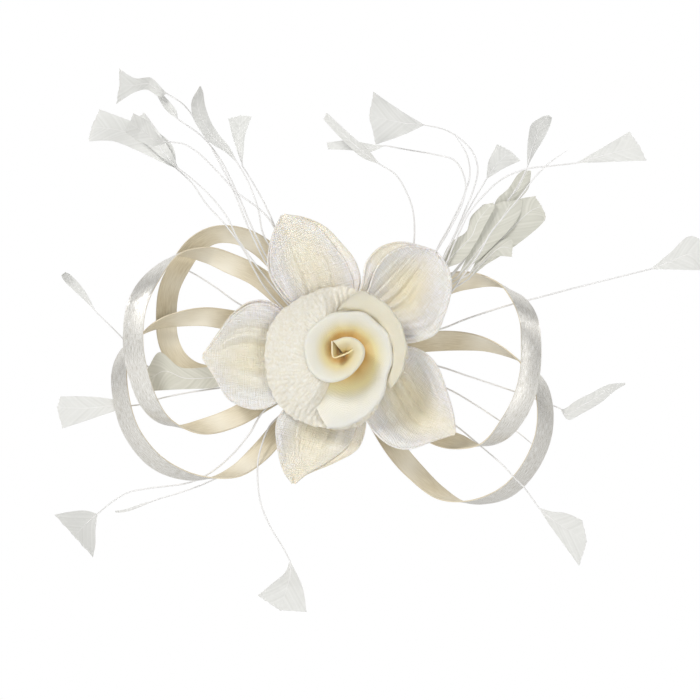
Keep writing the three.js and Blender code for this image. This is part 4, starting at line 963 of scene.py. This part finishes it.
# quill is the shaft as [x, z] points from the binding outwards, and depth its y from the binding to the
# tip. vane is a list of crossings outwards from the quill's end, each [left x, left z, right x, right z].
# The last may have two more numbers, the shaft's own end. tilt leans the left edge back, in degrees.
FEATHERS = {
    "feather_top_left_1": {
        "quill": [[-12.5, 8.5], [-31, 35], [-42, 57], [-49, 74], [-60.5, 95.5], [-70, 110], [-78, 115.5]],
        "depth": [-25.8, -26, -31, -42],
        "vane": [
            [-81, 113.9, -80.2, 117.8], [-86.8, 117, -85, 122.3], [-92, 115.8, -92, 122],
            [-100.5, 110.5, -99, 126.3, -99, 119],
        ],
        "tilt": 20,
    },
    "feather_top_left_2": {
        "quill": [[-11.5, 9.8], [-28, 33], [-40, 56], [-46, 70], [-54, 86], [-62, 96], [-73, 104]],
        "depth": [-24.6, -24.6, -26, -26],
        "vane": [
            [-76.5, 106.3, -73.8, 108], [-79.5, 109.5, -76.5, 111.5], [-81.5, 113, -79.5, 114.8],
            [-83.5, 116.5, -82.5, 118],
        ],
        "tilt": -15,
    },
    "feather_top_left_3": {
        "quill": [[-13.5, 7], [-33, 27], [-45, 47.5], [-53, 58], [-60, 65.5], [-67, 75.5], [-74, 82]],
        "depth": [-20.8, -20.5, -15, -7],
        "vane": [
            [-82, 85.5, -75.5, 92], [-92.5, 90.5, -85, 100], [-103, 94.5, -97, 104.5],
            [-114, 94.5, -109, 109, -112.5, 101],
        ],
        "tilt": -8,
    },
    "feather_top_left_4": {
        "quill": [[-12.8, 8], [-33, 32], [-46, 50], [-51, 60], [-58.5, 69.5], [-66, 76.5], [-73, 82]],
        "depth": [-22.2, -22, -20, -16],
        "vane": [[-79.5, 86, -75, 87], [-87, 92.5, -80, 95.5], [-96, 100.5, -88.5, 107.5]],
        "tilt": -6,
    },
    "feather_top_left_5": {
        "quill": [
            [-9, 12], [-22, 40], [-32, 59], [-37, 64], [-47, 71.5], [-54, 79], [-63, 88], [-70, 92.5],
            [-77, 93.5],
        ],
        "depth": [-28.2, -29, -34, -50],
        "vane": [[-83.5, 91.5, -82, 97], [-91.5, 94.5, -87, 103], [-96, 97.5, -92.5, 106]],
        "tilt": 25,
    },
    "feather_top_left_6": {
        "quill": [[-10.5, 10.5], [-27, 40], [-34.5, 52], [-37, 64], [-41.5, 76], [-46, 84]],
        "depth": [-27, -28, -35, -46],
        "vane": [
            [-51.5, 89, -49.5, 91], [-58, 93, -54.5, 97], [-62, 97.5, -58, 102.5],
            [-66, 104.5, -60.5, 109.5], [-66.5, 111.5, -61.5, 116], [-63, 118, -62.3, 118.3],
        ],
        "tilt": -25,
    },
    "feather_top_left_7": {
        "quill": [[-10, 11.2], [-24, 39], [-30, 57], [-34, 66], [-39, 75], [-44, 83]],
        "depth": [-23.4, -23.5, -23.5, -20],
        "vane": [[-46.5, 90, -43.5, 89], [-48.5, 96.5, -43, 96], [-50.5, 104.5, -40, 105.5, -45, 106]],
        "tilt": 20,
    },
    "feather_top_right_1": {
        "quill": [[7, 13], [28, 31], [33, 46], [33, 62], [30, 71], [25, 79], [18, 83.5]],
        "depth": [-17.5, -20, -30, -42],
        "vane": [[10, 86.5, 12.5, 90], [2.5, 93, 5, 96.5], [-7.5, 103.5, -6, 106.5]],
        "tilt": 20,
    },
    "feather_top_right_2": {
        "quill": [
            [8.5, 12], [34, 31], [44, 45.5], [50, 55.5], [55, 66], [56.5, 75], [52, 85], [42.5, 88],
            [31, 90], [20.5, 92],
        ],
        "depth": [-28, -28.5, -29.5, -28.5, -25],
        "vane": [[12.5, 89, 12, 93], [4.5, 90, 4.5, 94.5], [-5.5, 90.5, -6, 93.5]],
        "tilt": -20,
    },
    "feather_top_right_3": {
        "quill": [
            [10, 11], [42, 35], [51, 50.5], [56, 62], [60, 72], [62, 81], [60, 88.5], [54, 95], [47, 99],
            [38, 101],
        ],
        "depth": [-26.8, -26, -27, -36, -50],
        "vane": [[28.5, 96.5, 27, 107.5], [16, 92, 15, 115.5, 13, 105]],
        "tilt": 12,
    },
    "quill_top_right_4": {
        "quill": [[9.2, 11.5], [38, 34], [45, 48], [50, 57], [56, 70], [58.5, 79], [57, 88], [51.5, 97]],
        "depth": [-25.5, -25, -26, -30],
    },
    "feather_top_right_5": {
        "quill": [[11, 9.5], [43, 35], [50, 48], [56, 60], [60, 67], [66, 77]],
        "depth": [-24.8, -24.6, -22.5, -17],
        "vane": [[67, 85, 74, 82], [71, 93, 81.5, 85.5, 77, 90]],
        "tilt": -15,
    },
    "feather_top_right_6": {
        "quill": [
            [11.8, 8.8], [44, 33], [52, 49], [58, 61.5], [65, 70], [73, 77], [84, 81.5], [95, 82.8],
            [106, 84],
        ],
        "depth": [-24, -25.5, -29, -42],
        "vane": [[118, 91, 121, 84.5], [130, 98, 137.5, 85, 134.5, 91.5]],
        "tilt": 15,
    },
    "feather_top_right_7": {
        "quill": [[12.3, 8], [46, 30], [59, 45], [68, 58], [75, 66.5], [80.5, 74.5], [84.5, 82.5]],
        "depth": [-18.8, -19.8, -18, -6],
        "vane": [
            [84.5, 90, 88, 89], [85, 95.5, 91.5, 94.5], [86.5, 102, 95, 101.5],
            [91, 105.5, 96, 105, 94.5, 106.5],
        ],
        "tilt": -30,
    },
    "feather_top_right_8": {
        "quill": [[13, 7], [48, 31], [60, 46], [68, 56]],
        "depth": [-17.6, -18, -11],
        "vane": [[70.5, 67.5, 81, 68], [76, 73, 85, 73], [80.5, 79.5, 86, 77], [83.5, 81.5, 86.5, 81]],
        "tilt": 8,
    },
    "quill_top_right_9": {
        "quill": [
            [13.5, 6], [48, 24], [55, 33], [62, 42.5], [68, 53], [74, 60.5], [81, 69], [87, 77],
            [94, 84], [102, 89.5],
        ],
        "depth": [-25, -27, -30, -36, -46],
    },
    "feather_short_1": {
        "quill": [[13, 7.4], [30, 24], [44, 36]],
        "depth": [-22.4, -23, -24.4],
        "vane": [
            [49.5, 48, 55, 40], [57, 53.5, 61.5, 49], [59, 60, 65.5, 56.5],
            [64.5, 65.5, 70, 64.5, 69, 66.5],
        ],
        "tilt": 12,
    },
    "feather_short_2": {
        "quill": [[13.2, 6], [33, 21], [53, 33]],
        "depth": [-21.2, -21.8, -22],
        "vane": [[62, 52, 70, 47.5], [68.5, 64, 81, 61], [72.5, 67, 82.5, 68]],
        "tilt": -8,
    },
    "feather_short_3": {
        "quill": [[13.6, 5], [36, 21], [58, 34]],
        "depth": [-20, -20.7, -19.2],
        "vane": [[71, 57, 77, 45.5], [80, 67.5, 92, 58], [88, 69.5, 93, 60.5, 91, 65]],
        "tilt": -8,
    },
    "feather_short_4": {
        "quill": [[14, 4], [37, 18.5], [58, 32]],
        "depth": [-23.6, -24.8, -26.4],
        "vane": [[66, 43, 64, 37], [75.5, 50.5, 70, 42], [78, 49, 77.5, 42]],
        "tilt": 10,
    },
    "feather_right_1": {
        "quill": [
            [14.5, 2.5], [45.5, 9.5], [57, 14], [77, 20.5], [85, 22.5], [104, 27.5], [124, 32.5],
            [140, 36.5],
        ],
        "depth": [-17.5, -17, -16, -20, -30],
        "vane": [[149, 44, 150, 36.3], [157.5, 51.3, 160, 36], [164, 49, 163, 36, 165, 43]],
        "tilt": 10,
    },
    "feather_right_2": {
        "quill": [[14.5, -2.5], [43, -7], [57, -11.5], [78, -18.5], [96, -25], [99.5, -26.5]],
        "depth": [-18, -17, -13, -12, -9],
        "vane": [
            [101, -26.8, 103, -31.5], [107, -22.8, 109.5, -28.6], [114, -19.3, 118, -23.6],
            [121, -15.8, 124, -18.6], [129, -14.8, 129, -15.6],
        ],
        "tilt": 30,
    },
    "quill_right_3": {
        "quill": [[13.7, -5], [48.5, -17.5], [60, -24], [71.5, -31.5], [80, -37], [88, -43.5]],
        "depth": [-17, -15.5, -12.5],
    },
    "feather_right_4": {
        "quill": [
            [12.5, -7.7], [30, -20], [52, -34], [63, -43], [73.5, -52], [79, -58], [83, -62],
            [89.5, -71],
        ],
        "depth": [-17, -17, -19.2, -26, -36],
        "vane": [[94.5, -72.5, 93.5, -77.5], [102, -73.5, 99.5, -86], [109, -76.5, 107.5, -97, 111, -86]],
        "tilt": 12,
    },
    "feather_bottom": {
        "quill": [
            [-7.2, -13], [-24, -27], [-31.5, -34], [-35, -42], [-37, -50], [-37, -61], [-35.5, -70],
            [-31, -80.5], [-26, -88.5], [-22.5, -95],
        ],
        "depth": [-22, -21, -24, -38],
        "vane": [
            [-19.5, -100.5, -25, -100.5], [-16.7, -107, -30.5, -105],
            [-15, -117.5, -37, -110.5, -27, -117],
        ],
        "tilt": -12,
    },
    "feather_lower_left_1": {
        "quill": [
            [-10.5, -10.5], [-34, -27], [-41, -38], [-49.5, -48], [-59.5, -56], [-68.5, -60],
            [-86, -62.5], [-96, -64.5], [-103.5, -69], [-109.5, -74],
        ],
        "depth": [-22.5, -22.5, -17, -12.8, -13, -15, -24],
        "vane": [
            [-110.5, -81, -115, -72.5], [-110.5, -88, -122.5, -73],
            [-111.5, -93.5, -128.7, -74.3, -120, -84],
        ],
        "tilt": 15,
    },
    "feather_lower_left_2": {
        "quill": [
            [-9, -12.5], [-29, -40.5], [-40.5, -49.5], [-54, -57], [-62.5, -61], [-74, -65],
            [-82.5, -67.5],
        ],
        "depth": [-10.2, -10.2, -11, -14],
        "vane": [[-90, -70.8, -90, -69.6], [-97, -73.2, -97, -72], [-101.5, -73.4, -101.5, -72.8]],
        "tilt": 0,
    },
    "feather_left_1": {
        "quill": [
            [-14.6, -1], [-45, -10], [-60, -12.5], [-78, -12.5], [-88, -6.5], [-98, 5], [-110.5, 17.5],
        ],
        "depth": [-16.5, -16.3, -15.5, -14, -24],
        "vane": [
            [-117.3, 24.2, -115.3, 26.7], [-124.4, 31.1, -121.9, 34.1], [-125.7, 33.6, -123.9, 35.1],
        ],
        "tilt": 20,
    },
    "feather_left_2": {
        "quill": [
            [-14, -4.5], [-40, -15], [-57, -17.5], [-70, -19.5], [-81.5, -22], [-89.5, -24.5],
            [-95.5, -25.3],
        ],
        "depth": [-14.7, -15.8, -14, -13],
        "vane": [
            [-103, -28, -103, -22.3], [-113.5, -31.5, -115, -21],
            [-125.5, -35.5, -126.5, -21, -128, -26],
        ],
        "tilt": -15,
    },
    "feather_left_3": {
        "quill": [[-14.3, -2.5], [-30, -8.5], [-47, -12]],
        "depth": [-18, -18, -18.3],
        "vane": [
            [-55.5, -16.7, -56.7, -8], [-68, -17.6, -72, -7.8], [-77, -18, -81.5, -1],
            [-84, -18.5, -87, -8.8, -86.5, -13.5],
        ],
        "tilt": 5,
    },
    "quill_left_4": {
        "quill": [[-13.5, 6], [-45, 20.5], [-56.5, 28.5], [-68, 35.5], [-80, 40]],
        "depth": [-13, -12, -8.2],
    },
}

CREAM_FEATHERS = ("feather_left_3", "feather_top_right_8")
QUILL_STEPS_PER_POINT = 1.6
VANE_STEPS_PER_ROW = 2


def feather_levels(quill, depth, vane, quill_u, vane_u):
    """How far forward the shaft is, at shares along its quill and then its vane."""
    quill_steps = round(len(quill) * QUILL_STEPS_PER_POINT) + 2
    vane_steps = len(vane) * VANE_STEPS_PER_ROW
    steps = quill_u * quill_steps + vane_u * vane_steps
    return smooth_values(depth, steps / (quill_steps + vane_steps))


def vane_grid(quill, depth, vane, tilt, seed):
    """The trimmed vane, ragged where the scissors cut across its barbs."""
    rows, columns = 14 * len(vane), 25
    u = np.linspace(0, 1, rows)
    v = np.linspace(-1, 1, columns)
    left = curve([quill[-1]] + [row[:2] for row in vane], u, even=False)
    right = curve([quill[-1]] + [row[2:4] for row in vane], u, even=False)
    middle_points = [quill[-1]]
    for row in vane:
        halfway = [(row[0] + row[2]) / 2, (row[1] + row[3]) / 2]
        middle_points.append(row[4:6] if len(row) > 4 else halfway)
    middle = curve(middle_points, u, even=False)
    spread = np.abs(v)[None, :, None]
    edge = np.where(v[None, :, None] < 0, left[:, None], right[:, None])
    flat = middle[:, None] * (1 - spread) + edge * spread
    heading = np.gradient(middle, axis=0)
    heading /= np.linalg.norm(heading, axis=1, keepdims=True)
    chance = np.random.default_rng(seed)
    ragged = chance.uniform(-1, 0.4, columns) * 0.3
    flat = flat + heading[:, None] * (ragged * ease(u, 0.8, 1.0)[:, None])[..., None]
    offset = np.linalg.norm(flat - middle[:, None], axis=2) * np.sign(v)
    level = feather_levels(quill, depth, vane, np.ones(rows), u)[:, None]
    width = np.maximum(np.abs(offset).max(axis=1, keepdims=True), 0.1)
    crease = 0.05 * width * (1 - np.abs(v)[None, :] ** 1.5)
    wave = 0.12 * width * ripple(seed + 5, u, 1.1)[:, None] * (offset / width) ** 2
    y = level - offset * math.tan(math.radians(tilt)) + crease + wave
    return np.stack([flat[..., 0], y, flat[..., 1]], axis=2), middle


def make_feather(name, quill, depth, vane=(), tilt=0, seed=0):
    steps = 12 * len(quill)
    u = np.linspace(0, 1, steps)
    shaft = curve(quill, u)
    y = feather_levels(quill, depth, vane, u, np.zeros(steps))
    path = np.stack([shaft[:, 0], y, shaft[:, 1]], axis=1)
    radii = QUILL_RADIUS * (1 - 0.38 * u)
    parts, slots = [], []
    if vane:
        grid, middle = vane_grid(quill, depth, vane, tilt, seed)
        parts.append(sheet_parts(grid, VANE_THICKNESS)[:3])
        slots.append(1)
        spine = grid[1:-2, grid.shape[1] // 2]
        path = np.vstack([path, spine])
        radii = np.concatenate([radii, np.linspace(radii[-1], 0.1, len(spine))])
    else:
        radii = radii * (1 - 0.75 * ease(u, 0.9, 1.0))
    parts.append(tube_parts(path, radii))
    slots.append(0)
    ending = "_plume" if vane else "_shaft"
    cream = name.startswith("feather_short") or name in CREAM_FEATHERS
    piece = joined(name + ending, parts, [QUILL, CREAM_VANE if cream else WHITE_VANE], slots)
    finish_piece(piece, "feather", name)


for number, (feather_name, feather) in enumerate(FEATHERS.items()):
    make_feather(feather_name, seed=100 + number, **feather)

# ---- Binding, base and clip ----


def helix(radius, near_y, far_y, turns, seed):
    """A thread's path wound round the Y axis, with uneven turns."""
    share = np.linspace(0, 1, turns * 40)
    angle = share * turns * TAU
    y = near_y + (far_y - near_y) * share + 0.25 * ripple(seed, share, turns * 0.7)
    r = radius + 0.2 * ripple(seed + 1, share, turns * 1.3)
    return np.stack([r * np.cos(angle), y, r * np.sin(angle)], axis=1)


def lathe_parts(outline, segments=72):
    """A round body about the Y axis from [radius, y] points that start and end on the axis."""
    outline = np.asarray(outline, float)
    angle = np.arange(segments) * TAU / segments
    rings = outline[1:-1]
    x = rings[None, :, 0] * np.cos(angle)[:, None]
    z = rings[None, :, 0] * np.sin(angle)[:, None]
    y = np.broadcast_to(rings[None, :, 1], x.shape)
    vertices = np.stack([x, y, z], axis=2).reshape(-1, 3)
    ends = np.array([[0, outline[0, 1], 0], [0, outline[-1, 1], 0]])
    count, per = len(vertices), len(rings)
    index = np.arange(count).reshape(segments, per)
    index = np.vstack([index, index[:1]])
    faces = np.stack([index[:-1, :-1], index[:-1, 1:], index[1:, 1:], index[1:, :-1]], axis=-1)
    faces = faces.reshape(-1, 4).tolist()
    faces += [[count, a, b] for a, b in zip(index[:-1, 0], index[1:, 0])]
    faces += [[count + 1, b, a] for a, b in zip(index[:-1, -1], index[1:, -1])]
    uv = np.concatenate([vertices[:, [0, 2]], ends[:, [0, 2]]])
    return np.vstack([vertices, ends]), faces, uv


def make_binding():
    """A wad of cotton wound with thread in three layers."""
    near, far = BINDING_NEAR_Y - 0.1, BINDING_FAR_Y + 0.1
    core = [
        [0, near], [9, near], [12.4, near - 0.8], [13.2, near - 3], [12.8, (near + far) / 2],
        [13.2, far + 3], [12.4, far + 0.8], [9, far], [0, far],
    ]
    parts = [lathe_parts(core)]
    for layer, turns in enumerate((26, 17, 11)):
        radius = BINDING_RADIUS - 0.7 + 0.12 * layer
        path = helix(radius, near - 1 - layer, far + 1 + layer, turns, 60 + layer)
        parts.append(tube_parts(path, WINDING_RADIUS, 6))
    piece = joined("thread_binding_winding", parts, [THREAD])
    finish_piece(piece, "thread", "thread_binding")


def make_stem():
    """The wrapped stem under the flower: a tight wind of thread from the binding to the rose."""
    far = ROLL_Y + 0.3
    core = [[0, PETAL_Y], [3.3, PETAL_Y], [3.5, (PETAL_Y + ROLL_Y) / 2], [3.3, far], [0, far]]
    path = helix(3.55, PETAL_Y - 0.3, far + 0.4, 24, 70)
    parts = [lathe_parts(core, 32), tube_parts(path, STEM_WINDING_RADIUS, 6)]
    piece = joined("flower_stem_winding", parts, [THREAD])
    finish_piece(piece, "thread", "flower_stem")


def make_felt_stitches():
    """Overcast stitches that join the felt backing's edge to the base disc."""
    felt_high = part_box("felt_backing")[1]
    disc_low, disc_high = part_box("base_disc")
    felt_radius = felt_high.x / MM
    disc_radius = disc_high.x / MM
    near = felt_high.y / MM
    far = disc_low.y / MM
    stitches = 44
    slant = 0.05
    parts = []
    for i in range(stitches):
        angle = i * TAU / stitches
        points = []
        for r, y, twist in (
            (felt_radius - 2.2, near + 0.05, 0.0), (felt_radius - 1.0, near + 0.22, 0.3),
            (felt_radius + 0.1, near - 0.2, 0.5), (felt_radius + 0.15, near - 1.4, 0.6),
            (disc_radius + 0.3, far + 0.4, 0.8), (disc_radius - 0.9, far - 0.2, 1.0),
            (disc_radius - 1.8, far + 0.05, 1.1),
        ):
            a = angle + slant * twist
            points.append([r * math.cos(a), y, r * math.sin(a)])
        parts.append(tube_parts(curve(points, np.linspace(0, 1, 18)), FELT_STITCH_RADIUS, 6))
    piece = joined("felt_edge_stitches", parts, [THREAD])
    finish_piece(piece, "thread")


def make_clip_stitches():
    """Threads over the clip's fixed arm, which sew it to the felt."""
    arm_low, arm_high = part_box("clip_fixed_arm")
    half = arm_high.z / MM
    back = arm_low.y / MM
    plate_top = back + 0.8
    parts = []
    for x in (-22, -20.8, -19.6, -4.6, -3.4, -2.2):
        points = [
            [x, back + 0.05, -half - 1.6], [x + 0.1, back + 0.3, -half - 0.6],
            [x + 0.2, plate_top + 0.1, -half - 0.15], [x + 0.25, plate_top + 0.3, -half + 0.9],
            [x + 0.5, plate_top + 0.28, 0], [x + 0.75, plate_top + 0.3, half - 0.9],
            [x + 0.8, plate_top + 0.1, half + 0.15], [x + 0.9, back + 0.3, half + 0.6],
            [x + 1, back + 0.05, half + 1.6],
        ]
        parts.append(tube_parts(curve(points, np.linspace(0, 1, 40)), CLIP_STITCH_RADIUS, 6))
    piece = joined("clip_stitches", parts, [THREAD])
    finish_piece(piece, "thread")


make_binding()
make_stem()
make_felt_stitches()
make_clip_stitches()

CARRIED = {
    "clip_lever_arm": STEEL,
    "clip_fixed_arm": STEEL,
    "clip_pin": STEEL,
    "clip_spring": STEEL,
    "felt_backing": FELT,
    "base_disc": FELT,
}
for node_name, node_material in CARRIED.items():
    node_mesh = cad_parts[node_name].data
    node_mesh.materials.clear()
    node_mesh.materials.append(node_material)

# ---- Stage, light and camera ----

# In metres. The view's width is measured in the plane VIEW_DEPTH in front of the frame's origin.
FLOOR_DROP = 0.35
FLOOR_RADIUS = 3.6
CAMERA_DISTANCE = 4.0
VIEW_WIDTH = 0.315
VIEW_DEPTH = -0.03
VIEW_X = 0.0045


def make_floor():
    material, n = new_material("floor_paint", Roughness=0.9)
    n.paint(n.mix(n.noise(3.0, 2.0), (0.9, 0.9, 0.9), (0.93, 0.93, 0.93)))
    ring = np.arange(64) * TAU / 64
    vertices = np.stack([np.cos(ring), np.sin(ring), np.zeros(64)], axis=1) * FLOOR_RADIUS / MM
    vertices[:, 2] = -FLOOR_DROP / MM
    floor = make_object("floor", vertices, [list(range(64))], [material])


def make_world():
    """White seen directly; as light, bright behind the object and dim elsewhere, as in a light tent."""
    world = bpy.data.worlds.new("studio")
    bpy.context.scene.world = world
    world.use_nodes = True
    n = Nodes(world)
    n.tree.nodes.clear()
    place = n.add("ShaderNodeTexCoord", {}).outputs["Generated"]
    y = n.add("ShaderNodeSeparateXYZ", {"Vector": place}).outputs["Y"]
    lit = {"Color": (1, 1, 1, 1), "Strength": n.span(y, 0.0, 0.5, 0.3, 0.9)}
    light = n.add("ShaderNodeBackground", lit).outputs[0]
    seen = n.add("ShaderNodeBackground", {"Color": (1, 1, 1, 1), "Strength": 1.0}).outputs[0]
    ray = n.add("ShaderNodeLightPath", {}).outputs["Is Camera Ray"]
    both = n.add("ShaderNodeMixShader", {0: ray, 1: light, 2: seen}).outputs[0]
    n.add("ShaderNodeOutputWorld", {"Surface": both})


def area_light(name, place, size, power):
    data = bpy.data.lights.new(name, "AREA")
    data.shape = "DISK"
    data.size = size
    data.energy = power
    lamp = bpy.data.objects.new(name, data)
    lamp.location = place
    aim = Vector((0.0, VIEW_DEPTH, 0.0)) - Vector(place)
    lamp.rotation_mode = "QUATERNION"
    lamp.rotation_quaternion = aim.to_track_quat("-Z", "Y")
    bpy.context.scene.collection.objects.link(lamp)


def make_camera():
    data = bpy.data.cameras.new("camera")
    data.sensor_width = 36.0
    data.lens = data.sensor_width * (CAMERA_DISTANCE + VIEW_DEPTH) / VIEW_WIDTH
    data.clip_end = 50
    camera = bpy.data.objects.new("camera", data)
    camera.location = (VIEW_X, -CAMERA_DISTANCE, 0.0)
    camera.rotation_euler = (math.pi / 2, 0, 0)
    bpy.context.scene.collection.objects.link(camera)
    bpy.context.scene.camera = camera


make_floor()
make_world()
area_light("key", (-1.1, -1.9, 1.2), 0.7, 28)
area_light("fill", (0.8, -2.5, 0.0), 0.9, 15)
area_light("side_left", (-1.7, -1.15, 0.3), 0.35, 0.8)
area_light("side_right", (1.8, -0.8, 0.8), 0.4, 2.5)
make_camera()
bpy.context.scene.view_settings.view_transform = "Standard"
